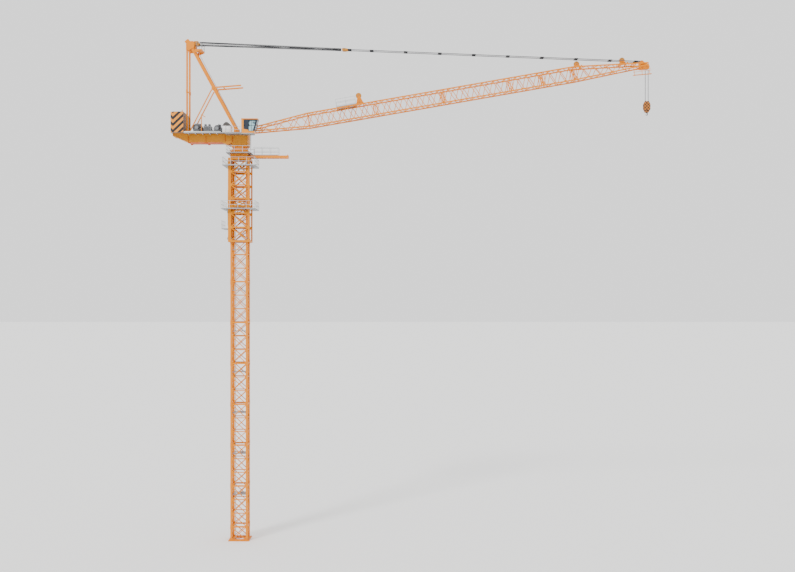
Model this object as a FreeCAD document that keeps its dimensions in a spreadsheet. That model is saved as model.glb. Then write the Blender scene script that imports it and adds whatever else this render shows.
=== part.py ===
"""Luffing-jib tower crane, 1:2 scale model, millimetres.

The frame's origin is the centre of the tower's foot on the ground. +Z is up and +X runs
along the jib. The operator's cab stands on the right-hand side, towards -Y.
Every driving dimension is a cell of the Sizes sheet.
"""
import FreeCAD, Part
import math
import os
import re
import Sketcher

SIZES = [
    # foot and tower
    ("mast_width", 1225, "overall width of the square tower"),
    ("leg_size", 130, "side of a tower leg"),
    ("lacing_depth", 60, "depth of the tower's lacing bars"),
    ("brace_width", 50, "width of a tower diagonal"),
    ("foot_overhang", 130, "how far the foot frame passes the legs"),
    ("foot_inset", 170, "how far the foot frame reaches inside the legs"),
    ("foot_thickness", 60, "thickness of the foot frame"),
    ("anchor_radius", 18, "radius of an anchor bolt hole"),
    ("anchor_spacing", 300, "spacing of the four anchor holes at a corner"),
    ("base_height", 995, "top of the base section"),
    ("section_height", 2900, "height of a tower section"),
    ("section_count", 9, "number of tower sections"),
    ("section_bays", 3, "braced bays in a section"),
    ("bay_rail", 60, "height of a horizontal bar between bays"),
    ("joint_rail", 110, "height of a horizontal bar at a section joint"),
    ("landing_drop", 635, "landing below each section joint"),
    ("landing_thickness", 25, "thickness of a landing"),
    ("landing_hatch", 420, "side of the hatch in a landing"),
    ("ladder_width", 220, "width over a ladder's stiles"),
    ("ladder_bar", 24, "width of a ladder's stiles and rungs"),
    ("rung_pitch", 150, "spacing of the rungs"),
    # climbing cage
    ("cage_bottom", 21200, "bottom of the climbing cage"),
    ("cage_top", 27170, "top of the climbing cage"),
    ("cage_rear", -750, "rear face of the cage"),
    ("cage_front", 775, "front face of the cage"),
    ("cage_half", 800, "half width of the cage"),
    ("cage_column", 215, "width of the rear columns"),
    ("cage_post", 100, "width of the front columns and of the side frames"),
    ("cage_brace", 55, "width of a cage diagonal"),
    ("deck_thickness", 40, "thickness of a grating"),
    ("rail_height", 550, "height of a guard rail"),
    ("rail_bar", 22, "width of a guard rail's bars"),
    ("ring_rail", 480, "height of the ring platform's guard rail, under the turning girder"),
    ("rail_gap", 600, "spacing of guard rail posts"),
    ("upper_deck_z", 26600, "underside of the cage's upper platform"),
    ("middle_deck_z", 23530, "underside of the cage's middle platform"),
    ("lower_deck_z", 22130, "underside of the cage's lower platform"),
    ("cage_deck_half", 1150, "half width of the cage platforms"),
    # ring support and climbing beam
    ("support_half", 650, "half width of the ring support's flanges"),
    ("support_body", 610, "half width of the ring support's body"),
    ("support_top", 27720, "top of the ring support"),
    ("ring_deck_z", 27480, "underside of the ring platform"),
    ("ring_deck_half", 1050, "half width of the ring platform"),
    ("beam_z", 27300, "centre line of the climbing beam"),
    ("beam_depth", 165, "depth of the climbing beam"),
    ("beam_width", 120, "width of the climbing beam"),
    ("beam_end", 3450, "outer end of the climbing beam"),
    ("walkway_start", 960, "inner end of the beam's walkway"),
    ("walkway_end", 2760, "outer end of the beam's walkway"),
    ("walkway_half", 330, "half width of the beam's walkway"),
    # slewing platform
    ("slew_gap", 8, "running gap between the fixed and the turning ring"),
    ("ring_radius", 575, "radius of the slewing ring"),
    ("girder_half", 600, "half width of the platform girder's flanges"),
    ("girder_web", 545, "half width of the platform girder's webs"),
    ("flange_thickness", 30, "thickness of the girder's flanges"),
    ("girder_rear", -4700, "rear end of the girder"),
    ("girder_front", 620, "front end of the girder"),
    ("girder_top", 28925, "top of the girder"),
    ("girder_low", 28285, "lowest flange of the girder"),
    ("girder_neck", 28030, "underside of the girder above the slewing ring"),
    ("rear_low", 28725, "underside of the girder at its rear end"),
    ("deck_half", 1150, "half width of the machinery deck"),
    ("weight_rear", -4790, "rear face of the counterweights"),
    ("weight_front", -3855, "front face of the counterweights"),
    ("weight_half", 1100, "half width of the counterweights"),
    ("weight_chamfer", 210, "corner cut at the rear of the counterweights"),
    ("weight_height", 288, "height of one counterweight slab"),
    ("weight_pitch", 293, "spacing of the counterweight slabs"),
    ("weight_count", 5, "number of counterweight slabs"),
    # A-frame
    ("frame_half", 475, "half spacing of the A-frame's two sides"),
    ("frame_bar", 110, "width across of the A-frame's bars"),
    ("strut_width", 200, "depth of the front struts"),
    ("strut_foot_x", -200, "foot of the front struts along X"),
    ("strut_foot_z", 29190, "foot of the front struts"),
    ("strut_head_x", -3400, "head of the front struts along X"),
    ("strut_head_z", 35100, "head of the front struts"),
    ("tie_x", -3700, "centre line of the rear ties"),
    ("tie_width", 115, "depth of the rear ties"),
    ("tie_top", 34850, "top of the rear ties"),
    ("knee_share", 0.5, "place of the knee joint along the struts from the foot"),
    ("backstop_reach", 1850, "length of the backstops"),
    # jib
    ("pivot_x", 625, "jib pivot along X"),
    ("pivot_z", 29150, "jib pivot height"),
    ("jib_angle", 9.9, "angle of the jib above level"),
    ("jib_half", 525, "half spacing of the jib's side frames"),
    ("jib_depth", 925, "depth of the jib between chord centres"),
    ("jib_chord", 84, "width of a chord"),
    ("jib_brace", 42, "width of a lacing bar"),
    ("root_depth", 190, "depth between chord centres at the jib's foot"),
    ("root_length", 4340, "length of the root section"),
    ("section_length", 4865, "length of a jib section"),
    ("short_length", 2320, "length of a short jib section"),
    ("head_length", 5280, "length of the head section"),
    ("head_rise", 180, "rise of the lower chords along the head section"),
    ("head_depth", 300, "depth between chord centres at the jib's tip, without the rise"),
    ("foot_radius", 110, "radius of the jib's foot eyes"),
    ("pin_ear", 40, "thickness of the ears that hold the foot pins"),
    ("pin_radius", 35, "radius of the jib's foot pins"),
    ("pin_gap", 0.08, "running clearance of a pin"),
    # sheaves and ropes
    ("rope_radius", 11, "radius of a steel rope"),
    ("tip_x", 29075, "axis of the tip sheave along X"),
    ("tip_z", 33665, "axis of the tip sheave"),
    ("fall_half", 105, "half spacing of the hoist falls"),
    ("sheave_radius", 205, "radius of a guide sheave"),
    ("sheave_width", 50, "width of a sheave"),
    ("sheave_pin", 30, "radius of a sheave's pin"),
    ("pulley_pin_x", -3300, "pin of the upper pulley block along X"),
    ("pulley_pin_z", 35410, "pin of the upper pulley block"),
    ("link_pin_x", 28650, "pendant pin on the jib head along X"),
    ("link_pin_z", 34110, "pendant pin on the jib head"),
    ("line_half", 200, "half spacing of the two pendant lines"),
    ("floating_start", 10800, "floating block from the upper pulley pin"),
    ("bar_length", 2435, "length of one pendant bar"),
    ("hook_top", 31300, "top of the hook block"),
    ("hook_plate", 820, "height of the hook block's cheek plates"),
    ("hook_half", 250, "half width of the hook block"),
]

document = FreeCAD.newDocument("TowerCrane")
sheet = document.addObject("Spreadsheet::Sheet", "Sizes")
for row, (alias, value, meaning) in enumerate(SIZES, 1):
    sheet.set(f"A{row}", meaning)
    sheet.set(f"B{row}", str(value))
    sheet.setAlias(f"B{row}", alias)
document.recompute()

Vector = FreeCAD.Vector
pieces = []


def size(alias):
    """Number in a cell of the sheet."""
    return float(sheet.get(alias))


def cells(expression):
    """Expression with every sheet alias pointed at the sheet."""
    return re.sub(r"\b([a-z]+(?:_[a-z]+)+)\b", r"Sizes.\1", expression)


def bind(thing, **expressions):
    """Bind properties to expressions; a double underscore stands for a dot."""
    for name, expression in expressions.items():
        thing.setExpression(name.replace("__", "."), cells(str(expression)))


def move(thing, x="0", y="0", z="0", angle=None, axis=(0, -1, 0)):
    """Place a thing, turned about an axis by an angle expression."""
    if angle is not None:
        thing.Placement = FreeCAD.Placement(Vector(), FreeCAD.Rotation(Vector(*axis), 10))
        bind(thing, Placement__Rotation__Angle=angle)
    bind(thing, Placement__Base__x=x, Placement__Base__y=y, Placement__Base__z=z)
    return thing


def box(x, y, z, label="block"):
    """Box between two expressions on each axis."""
    block = document.addObject("Part::Box", label)
    bind(block, Length=f"({x[1]}) - ({x[0]})", Width=f"({y[1]}) - ({y[0]})",
         Height=f"({z[1]}) - ({z[0]})")
    return move(block, x[0], y[0], z[0])


def cross_rod(radius, x, z, y, label="rod"):
    """Round bar along Y between two expressions."""
    rod = document.addObject("Part::Cylinder", label)
    rod.Placement = FreeCAD.Placement(Vector(), FreeCAD.Rotation(Vector(1, 0, 0), -90))
    bind(rod, Radius=radius, Height=f"({y[1]}) - ({y[0]})", Placement__Base__x=x,
         Placement__Base__y=y[0], Placement__Base__z=z)
    return rod


def post(radius, x, y, z, label="post"):
    """Round bar along Z between two expressions."""
    rod = document.addObject("Part::Cylinder", label)
    bind(rod, Radius=radius, Height=f"({z[1]}) - ({z[0]})")
    return move(rod, x, y, z[0])


def join(label, parts):
    """Parts welded into one solid."""
    whole = document.addObject("Part::MultiFuse", label)
    whole.Shapes = parts
    return whole


def group(label, parts):
    """Separate like parts that share a name."""
    whole = document.addObject("Part::Compound", label)
    whole.Links = parts
    return whole


def cut(label, base, tool):
    """Base with the tool taken out."""
    whole = document.addObject("Part::Cut", label)
    whole.Base = base
    whole.Tool = tool
    return whole


def keep(label, thing):
    """Name a finished piece."""
    thing.Label = label
    pieces.append(thing)
    return thing


def outline(body, name, role, corners, offset):
    """Closed sketch through corner expressions on one of the body's origin planes."""
    plane = next(one for one in body.Origin.OriginFeatures if one.Role == role)
    sketch = body.newObject("Sketcher::SketchObject", name)
    sketch.AttachmentSupport = (plane, [""])
    sketch.MapMode = "FlatFace"
    bind(sketch, AttachmentOffset__Base__z=offset)
    count = len(corners)
    start = [Vector(math.cos(2 * math.pi * i / count), math.sin(2 * math.pi * i / count), 0)
             for i in range(count)]
    for i in range(count):
        sketch.addGeometry(Part.LineSegment(start[i], start[(i + 1) % count]))
    for i in range(count):
        sketch.addConstraint(Sketcher.Constraint("Coincident", i, 2, (i + 1) % count, 1))
    for i, corner in enumerate(corners):
        for kind, expression, value in zip(("DistanceX", "DistanceY"), corner, start[i]):
            number = sketch.addConstraint(Sketcher.Constraint(kind, -1, 1, i, 1, value))
            sketch.setExpression(f"Constraints[{number}]", cells(str(expression)))
    return sketch


def pad(body, name, role, corners, offset, length):
    """Pad of an outline, from its offset along the plane's normal."""
    feature = body.newObject("PartDesign::Pad", name)
    feature.Profile = outline(body, name + "Sketch", role, corners, offset)
    bind(feature, Length=length)
    return feature


def pocket(body, name, role, corners, offset, length, reverse=False):
    """Pocket of an outline into the body."""
    feature = body.newObject("PartDesign::Pocket", name)
    feature.Profile = outline(body, name + "Sketch", role, corners, offset)
    feature.Reversed = reverse
    bind(feature, Length=length)
    return feature


def side_plate(corners, y, label="plate"):
    """Plate with an outline in X and Z, between two expressions on Y."""
    body = document.addObject("PartDesign::Body", label)
    pad(body, "Plate", "XZ_Plane", corners, f"-({y[1]})", f"({y[1]}) - ({y[0]})")
    return body


def bar_between(start, end, width, y, label="bar"):
    """Flat-sided bar in the XZ plane from start to end, each an (x, z) pair of expressions."""
    run = f"({end[0]}) - ({start[0]})"
    rise = f"({end[1]}) - ({start[1]})"
    reach = f"sqrt(pow({run}; 2) + pow({rise}; 2))"
    bar = document.addObject("Part::Box", label)
    bar.Placement = FreeCAD.Placement(Vector(), FreeCAD.Rotation(Vector(0, -1, 0), 10))
    slope = f"atan2({rise}; {run})"
    bind(bar, Length=reach, Width=f"({y[1]}) - ({y[0]})", Height=width,
         Placement__Rotation__Angle=slope,
         Placement__Base__x=f"({start[0]}) + ({width}) / 2 * ({rise}) / ({reach})",
         Placement__Base__y=y[0],
         Placement__Base__z=f"({start[1]}) - ({width}) / 2 * ({run}) / ({reach})")
    return bar


# ---- flat lattices: a plate whose windows leave only the bars --------------------------

def inset(corners, margins):
    """Convex polygon with each edge moved inwards by its margin, or None when nothing is left."""
    count = len(corners)
    area = sum(corners[i][0] * corners[(i + 1) % count][1]
               - corners[(i + 1) % count][0] * corners[i][1] for i in range(count))
    turn = 1 if area > 0 else -1
    lines = []
    for i in range(count):
        (ax, ay), (bx, by) = corners[i], corners[(i + 1) % count]
        reach = math.hypot(bx - ax, by - ay)
        nx, ny = -(by - ay) / reach * turn, (bx - ax) / reach * turn
        lines.append((nx, ny, nx * ax + ny * ay + margins[i]))
    result = []
    for i in range(count):
        ax, ay, ac = lines[i - 1]
        bx, by, bc = lines[i]
        bottom = ax * by - ay * bx
        result.append(((ac * by - bc * ay) / bottom, (ax * bc - bx * ac) / bottom))
    inside = all(nx * px + ny * py >= c - 0.01 for nx, ny, c in lines for px, py in result)
    return result if inside else None


def lattice_plate(border, windows, depth, plane):
    """Solid plate of the given depth on a plane with its windows open.

    plane is (origin, first direction, second direction); the depth runs along their product.
    """
    origin, first, second = plane

    def wire(corners):
        points = [origin + first * a + second * b for a, b in corners]
        return Part.makePolygon(points + points[:1])

    face = Part.Face([wire(border)] + [wire(window) for window in windows if window])
    face.validate()
    return face.extrude(first.cross(second) * depth)


def cross_bay(left, right, low, high, brace, low_rail, high_rail, side=0):
    """Four windows of a bay with crossed diagonals."""
    corners = [(left, low), (right, low), (right, high), (left, high)]
    corners = inset(corners, [low_rail / 2, side, high_rail / 2, side])
    middle = ((left + right) / 2, (corners[0][1] + corners[2][1]) / 2)
    return [inset([corners[i], corners[(i + 1) % 4], middle], [0, brace / 2, brace / 2])
            for i in range(4)]


def zigzag(low, high, brace, rail, places):
    """Windows between the lines low(u) and high(u) for one zigzag bar with nodes at the places."""
    lines = (low, high)
    last = len(places) - 1
    nodes = [(place, lines[i % 2](place)) for i, place in enumerate(places)]
    windows = [inset(nodes[i:i + 3], [brace / 2, brace / 2, rail / 2]) for i in range(last - 1)]
    for here, beside in ((0, 1), (last, last - 1)):
        corner = (places[here], lines[(here + 1) % 2](places[here]))
        windows.append(inset([nodes[here], nodes[beside], corner], [brace / 2, rail / 2, brace / 2]))
    return windows


def shape_piece(label, shape):
    """Piece whose shape is made by the functions above from the sheet's sizes."""
    thing = document.addObject("Part::Feature", label)
    thing.Shape = shape
    return thing


# ---- foot frame: a square plate frame bolted to the foundation --------------------------

foot_out = "(mast_width / 2 + foot_overhang)"
foot_in = "(mast_width / 2 - leg_size - foot_inset)"
foot_plate = box((f"-{foot_out}", foot_out), (f"-{foot_out}", foot_out), ("0", "foot_thickness"))
foot_opening = box((f"-{foot_in}", foot_in), (f"-{foot_in}", foot_in), ("-1", "foot_thickness + 1"))
anchor_holes = []
for side_x in (-1, 1):
    for side_y in (-1, 1):
        for step_x in (-1, 1):
            for step_y in (-1, 1):
                at_x = f"{side_x} * (mast_width / 2 - leg_size / 2) + {step_x} * anchor_spacing / 2"
                at_y = f"{side_y} * (mast_width / 2 - leg_size / 2) + {step_y} * anchor_spacing / 2"
                anchor_holes.append(post("anchor_radius", at_x, at_y, ("-1", "foot_thickness + 1")))
foot_frame = cut("FootFrame", foot_plate, join("FootHoles", [foot_opening] + anchor_holes))
keep("base_frame", foot_frame)


# ---- tower: two side frames with the legs, and lacing between them front and rear --------

tower_top = size("base_height") + size("section_count") * size("section_height")
half = size("mast_width") / 2
inner = half - size("leg_size")
RIM = 12


def tower_levels():
    """Height and bar depth of every horizontal bar of the tower."""
    bays = int(size("section_bays"))
    levels = [(size("foot_thickness"), size("joint_rail"))]
    for section in range(int(size("section_count"))):
        start = size("base_height") + section * size("section_height")
        for bay in range(bays):
            rail = size("joint_rail") if bay == 0 else size("bay_rail")
            levels.append((start + bay * size("section_height") / bays, rail))
    return levels + [(tower_top, size("joint_rail"))]


def tower_windows(reach):
    """Windows of one side of the tower, up to its reach each way and up its height."""
    levels = tower_levels()
    windows = []
    for (low, low_rail), (high, high_rail) in zip(levels, levels[1:]):
        windows += cross_bay(-reach, reach, low, high, size("brace_width"), low_rail, high_rail)
    return windows


def tower_lacing(plane, edge):
    """Lacing plate of one side up to its edge, with a rim beside the windows."""
    border = [(-edge, size("foot_thickness")), (edge, size("foot_thickness")),
              (edge, tower_top), (-edge, tower_top)]
    return lattice_plate(border, tower_windows(edge - RIM), size("lacing_depth"), plane)


for name, side in (("mast_side_right", -1), ("mast_side_left", 1)):
    legs = []
    face = "mast_width / 2"
    across = (f"-{face}", f"leg_size - {face}") if side < 0 else (f"{face} - leg_size", face)
    height = ("foot_thickness", "base_height + section_count * section_height")
    legs.append(box((f"-{face}", f"leg_size - {face}"), across, height))
    legs.append(box((f"{face} - leg_size", face), across, height))
    if side < 0:
        plane = (Vector(0, size("lacing_depth") - half, 0), Vector(1, 0, 0), Vector(0, 0, 1))
    else:
        plane = (Vector(0, half, 0), Vector(1, 0, 0), Vector(0, 0, 1))
    lacing = shape_piece(name + "_lacing", tower_lacing(plane, inner + RIM))
    keep(name, join(name, legs + [lacing]))

front_plane = (Vector(half - size("lacing_depth"), 0, 0), Vector(0, 1, 0), Vector(0, 0, 1))
rear_plane = (Vector(-half, 0, 0), Vector(0, 1, 0), Vector(0, 0, 1))
keep("mast_side_front", shape_piece("mast_side_front", tower_lacing(front_plane, inner)))
keep("mast_side_rear", shape_piece("mast_side_rear", tower_lacing(rear_plane, inner)))


# ---- landings and ladder inside the tower -----------------------------------------------

landings = []
landing_edge = "(mast_width / 2 - lacing_depth)"
for number in range(1, int(size("section_count")) + 1):
    level = f"base_height + {number} * section_height - landing_drop"
    landings.append(box(("leg_size - mast_width / 2", "mast_width / 2 - leg_size"),
                        (f"-{landing_edge}", landing_edge), (level, f"{level} + landing_thickness")))
hatch = box(("leg_size - mast_width / 2 + 40", "leg_size - mast_width / 2 + 40 + landing_hatch"),
            ("-landing_hatch / 2", "landing_hatch / 2"),
            ("base_height", "base_height + section_count * section_height"))
keep("mast_landings", cut("Landings", group("LandingPlates", landings), hatch))


def ladder_shape(low, high, plane):
    """Ladder with stiles and rungs, from low to high along the plane's second direction."""
    bar, wide = size("ladder_bar"), size("ladder_width") / 2
    count = int((high - low) / size("rung_pitch"))
    pitch = (high - low - bar) / count
    windows = []
    for rung in range(count):
        start = low + bar + rung * pitch
        windows.append([(bar - wide, start), (wide - bar, start),
                        (wide - bar, start + pitch - bar), (bar - wide, start + pitch - bar)])
    border = [(-wide, low), (wide, low), (wide, high), (-wide, high)]
    return lattice_plate(border, windows, bar, plane)


ladder_x = -inner + 40 + size("landing_hatch") / 4
ladder_plane = (Vector(ladder_x, 0, 0), Vector(0, 1, 0), Vector(0, 0, 1))
keep("mast_ladder", shape_piece("mast_ladder", ladder_shape(size("foot_thickness"), tower_top,
                                                            ladder_plane)))


# ---- climbing cage: four side frames that slide up the outside of the tower ---------------

cage_low, cage_high = size("cage_bottom"), size("cage_top")
cage_beams = [(cage_low, 260), (22250, 90), (23250, 110), (23750, 110), (24300, 110),
              (25250, 70), (26200, 70), (cage_high, 240)]


def cage_side(y):
    """Right or left frame of the cage: two columns, beams and diagonals."""
    rear, front = size("cage_rear"), size("cage_front")
    left, right = rear + size("cage_column"), front - size("cage_post")
    windows = []
    for (low, low_beam), (high, high_beam) in zip(cage_beams, cage_beams[1:]):
        windows += cross_bay(left, right, low, high, size("cage_brace"), low_beam, high_beam)
    border = [(rear, cage_low), (front, cage_low), (front, cage_high), (rear, cage_high)]
    plane = (Vector(0, y, 0), Vector(1, 0, 0), Vector(0, 0, 1))
    return lattice_plate(border, windows, size("cage_post"), plane)


side_inner = size("cage_half") - size("cage_post")
keep("cage_side_right", shape_piece("cage_side_right", cage_side(-side_inner)))
keep("cage_side_left", shape_piece("cage_side_left", cage_side(size("cage_half"))))
rear_windows = []
for (low, low_beam), (high, high_beam) in zip(cage_beams, cage_beams[1:]):
    rear_windows += cross_bay(-side_inner, side_inner, low, high, size("cage_brace"),
                              low_beam, high_beam, side=40)
rear_border = [(-side_inner, cage_low), (side_inner, cage_low),
               (side_inner, cage_high), (-side_inner, cage_high)]
rear_plane = (Vector(size("cage_rear"), 0, 0), Vector(0, 1, 0), Vector(0, 0, 1))
rear_frame = shape_piece("rear_frame", lattice_plate(
    rear_border, rear_windows, size("cage_post"), rear_plane))
front_sill = box(("cage_front - cage_post", "cage_front"), ("cage_post - cage_half", "cage_half - cage_post"),
                 ("cage_bottom", "cage_bottom + 130"))
front_header = box(("cage_front - cage_post", "cage_front"),
                   ("cage_post - cage_half", "cage_half - cage_post"), ("cage_top - 120", "cage_top"))
keep("cage_end_frames", group("CageEnds", [rear_frame, front_sill, front_header]))


# ---- platforms and guard rails around the cage -------------------------------------------

def ring_deck(level, rear, front, wide, hole_rear, hole_front, hole_half):
    """Four grating strips around a square hole, a joint's width apart."""
    top = f"{level} + deck_thickness"
    return [box((rear, front), (f"-({wide})", f"-({hole_half})"), (level, top)),
            box((rear, front), (hole_half, wide), (level, top)),
            box((rear, hole_rear), (f"-({hole_half}) + 4", f"{hole_half} - 4"), (level, top)),
            box((hole_front, front), (f"-({hole_half}) + 4", f"{hole_half} - 4"), (level, top))]


def rail_panel(start, end, level, height=None):
    """Guard rail between two points on a platform: posts, a knee rail and a top rail."""
    bar = size("rail_bar")
    high = size("rail_height") if height is None else height
    first = Vector(end[0] - start[0], end[1] - start[1], 0)
    length = first.Length
    first.normalize()
    count = max(1, round(length / size("rail_gap")))
    pitch = (length - bar) / count
    windows = []
    for bay in range(count):
        left, right = bar + bay * pitch, (bay + 1) * pitch
        for low, up in ((bar, high / 2 - bar), (high / 2, high - bar)):
            windows.append([(left, low), (right, low), (right, up), (left, up)])
    border = [(0, 0), (length, 0), (length, high), (0, high)]
    origin = Vector(start[0], start[1], level)
    return lattice_plate(border, windows, bar, (origin, first, Vector(0, 0, 1)))


def rail_ring(rear, front, half_width, level, height=None):
    """Guard rails on the four edges of a platform, clear of each other at the corners."""
    bar = size("rail_bar")
    step = bar + 4
    edges = [((rear, bar - half_width), (front, bar - half_width)),
             ((rear, half_width), (front, half_width)),
             ((rear + bar, half_width - step), (rear + bar, step - half_width)),
             ((front, half_width - step), (front, step - half_width))]
    return [rail_panel(start, end, level, height) for start, end in edges]


cage_holes = ("cage_rear", "cage_front", "cage_half")
cage_decks = ring_deck("upper_deck_z", "-1100", "1200", "cage_deck_half", *cage_holes)
cage_decks += ring_deck("middle_deck_z", "-1200", "1200", "cage_deck_half", *cage_holes)
jack_x = "cage_rear - 90"
lower_span = ("lower_deck_z", "lower_deck_z + deck_thickness")
cage_decks += [cut("LowerDeck", box(("-1200", "cage_rear"), ("-cage_half", "cage_half"), lower_span),
                   post("48", jack_x, "0", lower_span))]
keep("cage_platforms", group("CageDecks", cage_decks))
deck_half = size("cage_deck_half")
deck = size("deck_thickness")
lower_level = size("lower_deck_z") + deck
lower_wide = size("cage_half") - 4
cage_rails = rail_ring(-1100, 1200, deck_half, size("upper_deck_z") + deck)
cage_rails += rail_ring(-1200, 1200, deck_half, size("middle_deck_z") + deck)
cage_rails += [rail_panel((-1200, lower_wide), (-1200, -lower_wide), lower_level)]
keep("cage_railings", shape_piece("cage_railings", Part.Compound(cage_rails)))

jack = join("ClimbingJack", [
    post("62", jack_x, "0", ("22400", "23480")), post("38", jack_x, "0", ("21500", "22400")),
    box(("cage_rear - 160", "cage_rear"), ("-90", "90"), ("21400", "21560")),
    box(("cage_rear - 160", "cage_rear"), ("-110", "110"), ("23300", "23470"))])
keep("climbing_jack", jack)


# ---- ring support, its platform and the climbing beam -------------------------------------

mast_top = "(base_height + section_count * section_height)"
support_low = f"({mast_top} + 60)"
flange = ("-support_half", "support_half")
trunk = ("-support_body", "support_body")
keep("ring_support", join("RingSupport", [
    box(flange, flange, (mast_top, support_low)),
    box(trunk, trunk, (support_low, "support_top - 50")),
    box(flange, flange, ("support_top - 50", "support_top"))]))
keep("ring_platform", group("RingDeck", ring_deck(
    "ring_deck_z", "-850", "900", "ring_deck_half", "-support_body", "support_body",
    "support_body")))
beam_low, beam_high = "beam_z - beam_depth / 2", "beam_z + beam_depth / 2"
side_beams = [box(("support_body", "beam_end"), (y, f"{y} + beam_width"), (beam_low, beam_high))
              for y in ("-walkway_half", "walkway_half - beam_width")]
between = ("beam_width - walkway_half", "walkway_half - beam_width")
ties = [box((x, f"{x} + 80"), between, (beam_low, beam_high))
        for x in ("support_body + 150", "walkway_start + 900", "beam_end - 700", "beam_end - 80")]
stops = [box(("beam_end - 60", "beam_end"), (y, f"{y} + beam_width"), (beam_high, f"{beam_high} + 60"))
         for y in ("-walkway_half", "walkway_half - beam_width")]
keep("climbing_beam", join("ClimbingBeam", side_beams + ties + stops))
keep("beam_walkway", box(("walkway_start", "walkway_end"), ("-walkway_half", "walkway_half"),
                         (beam_high, f"{beam_high} + deck_thickness")))
ring_level = size("ring_deck_z") + deck
walk_level = size("beam_z") + size("beam_depth") / 2 + deck
walk_half = size("walkway_half")
walk_ends = (size("walkway_start"), size("walkway_end"))
ring_rails = rail_ring(-850, 900, size("ring_deck_half"), ring_level, size("ring_rail"))[:3]
ring_rails += [rail_panel((walk_ends[0], y), (walk_ends[1], y), walk_level)
               for y in (size("rail_bar") - walk_half, walk_half)]
keep("ring_railings", shape_piece("ring_railings", Part.Compound(ring_rails)))


# ---- slewing ring and platform girder -------------------------------------------------------

turn_low = "(support_top + slew_gap)"
neck = "girder_neck"
keep("slewing_ring", join("SlewingRing", [
    post("ring_radius", "0", "0", (turn_low, f"{turn_low} + 90")),
    post("ring_radius - 45", "0", "0", (f"{turn_low} + 90", f"{neck} - 70")),
    box(("-550", "550"), ("-550", "550"), (f"{neck} - 70", neck))]))

girder = document.addObject("PartDesign::Body", "Girder")
girder_corners = [("girder_rear", "girder_top"), ("girder_rear", "rear_low"),
                  ("girder_rear + 100", "rear_low"), ("-3600", "girder_low"), ("-1200", "girder_low"),
                  ("-800", "28110"), ("-510", "28260"), ("-460", neck), ("girder_front", neck),
                  ("girder_front", "girder_top")]
web_corners = [("girder_rear + 30", "girder_top - flange_thickness"),
               ("girder_rear + 30", "rear_low + flange_thickness"),
               ("girder_rear + 107", "rear_low + flange_thickness"),
               ("-3593", "girder_low + flange_thickness"), ("-1188", "girder_low + flange_thickness"),
               ("-800", "28146"), ("-489", "28305"), ("-435", f"{neck} + flange_thickness"),
               ("girder_front - 30", f"{neck} + flange_thickness"),
               ("girder_front - 30", "girder_top - flange_thickness")]
pad(girder, "Flanges", "XZ_Plane", girder_corners, "-girder_half", "girder_half * 2")
pocket(girder, "LeftWeb", "XZ_Plane", web_corners, "-girder_half", "girder_half - girder_web",
       reverse=True)
pocket(girder, "RightWeb", "XZ_Plane", web_corners, "girder_half", "girder_half - girder_web")
keep("platform_girder", girder)

deck_rear = "weight_front + 30"
deck_top = "girder_top + deck_thickness"
keep("machine_deck", group("MachineDeck", [
    box((deck_rear, "-1200"), ("-deck_half", "-girder_half"), ("girder_top - 40", "girder_top")),
    box((deck_rear, "-1200"), ("girder_half", "deck_half"), ("girder_top - 40", "girder_top")),
    box(("-1190", "250"), ("-deck_half", "-girder_half"), ("girder_top - 60", "girder_top")),
    box(("-1190", "480"), ("girder_half", "deck_half"), ("girder_top - 60", "girder_top"))]))

slabs = []
for number in range(int(size("weight_count"))):
    slab = document.addObject("PartDesign::Body", "Slab")
    pad(slab, "Slab", "XY_Plane",
        [("weight_rear + weight_chamfer", "-weight_half"), ("weight_front", "-weight_half"),
         ("weight_front", "weight_half"), ("weight_rear + weight_chamfer", "weight_half"),
         ("weight_rear", "weight_half - weight_chamfer"),
         ("weight_rear", "weight_chamfer - weight_half")],
        f"girder_top + {number} * weight_pitch", "weight_height")
    slabs.append(slab)
keep("counterweights", group("Counterweights", slabs))


# ---- A-frame --------------------------------------------------------------------------------

foot = ("strut_foot_x", "strut_foot_z")
head = ("strut_head_x", "strut_head_z")
knee_x = "(strut_foot_x + (strut_head_x - strut_foot_x) * knee_share)"
knee_z = "(strut_foot_z + (strut_head_z - strut_foot_z) * knee_share)"
sides = [("-frame_half - frame_bar / 2", "frame_bar / 2 - frame_half"),
         ("frame_half - frame_bar / 2", "frame_half + frame_bar / 2")]
struts = []
for y in sides:
    shoe = side_plate([("strut_foot_x - 190", "girder_top"), ("strut_foot_x + 190", "girder_top"),
                       ("strut_foot_x + 120", "strut_foot_z + 130"),
                       ("strut_foot_x - 160", "strut_foot_z + 130")], y)
    lug = cross_rod("165", knee_x, knee_z, y)
    struts.append(join("Strut", [bar_between(foot, head, "strut_width", y), shoe, lug]))
keep("a_frame_struts", group("Struts", struts))

tie_bars = []
for y in sides:
    tie_bars.append(box(("tie_x - tie_width / 2", "tie_x + tie_width / 2"), y,
                        ("girder_top", "tie_top")))
    tie_bars.append(box(("tie_x - 110", "tie_x + 110"), y, ("girder_top", "girder_top + 260")))
tie_link = box(("tie_x - 25", "tie_x + 25"), ("-frame_half", "frame_half"), ("31900", "31960"))
keep("rear_ties", join("RearTies", tie_bars + [tie_link]))
brace_foot = ("tie_x + 150", "girder_top + 60")
brace_head = (f"{knee_x} - 158", f"{knee_z} - 94")
brace_sides = [("-frame_half - 35", "35 - frame_half"), ("frame_half - 35", "frame_half + 35")]
keep("a_frame_braces", group("Braces", [
    join("Brace", [bar_between(brace_foot, brace_head, "72", y),
                   box(("tie_x + 112", "tie_x + 290"), y, ("girder_top", "girder_top + 110"))])
    for y in brace_sides]))

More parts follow.
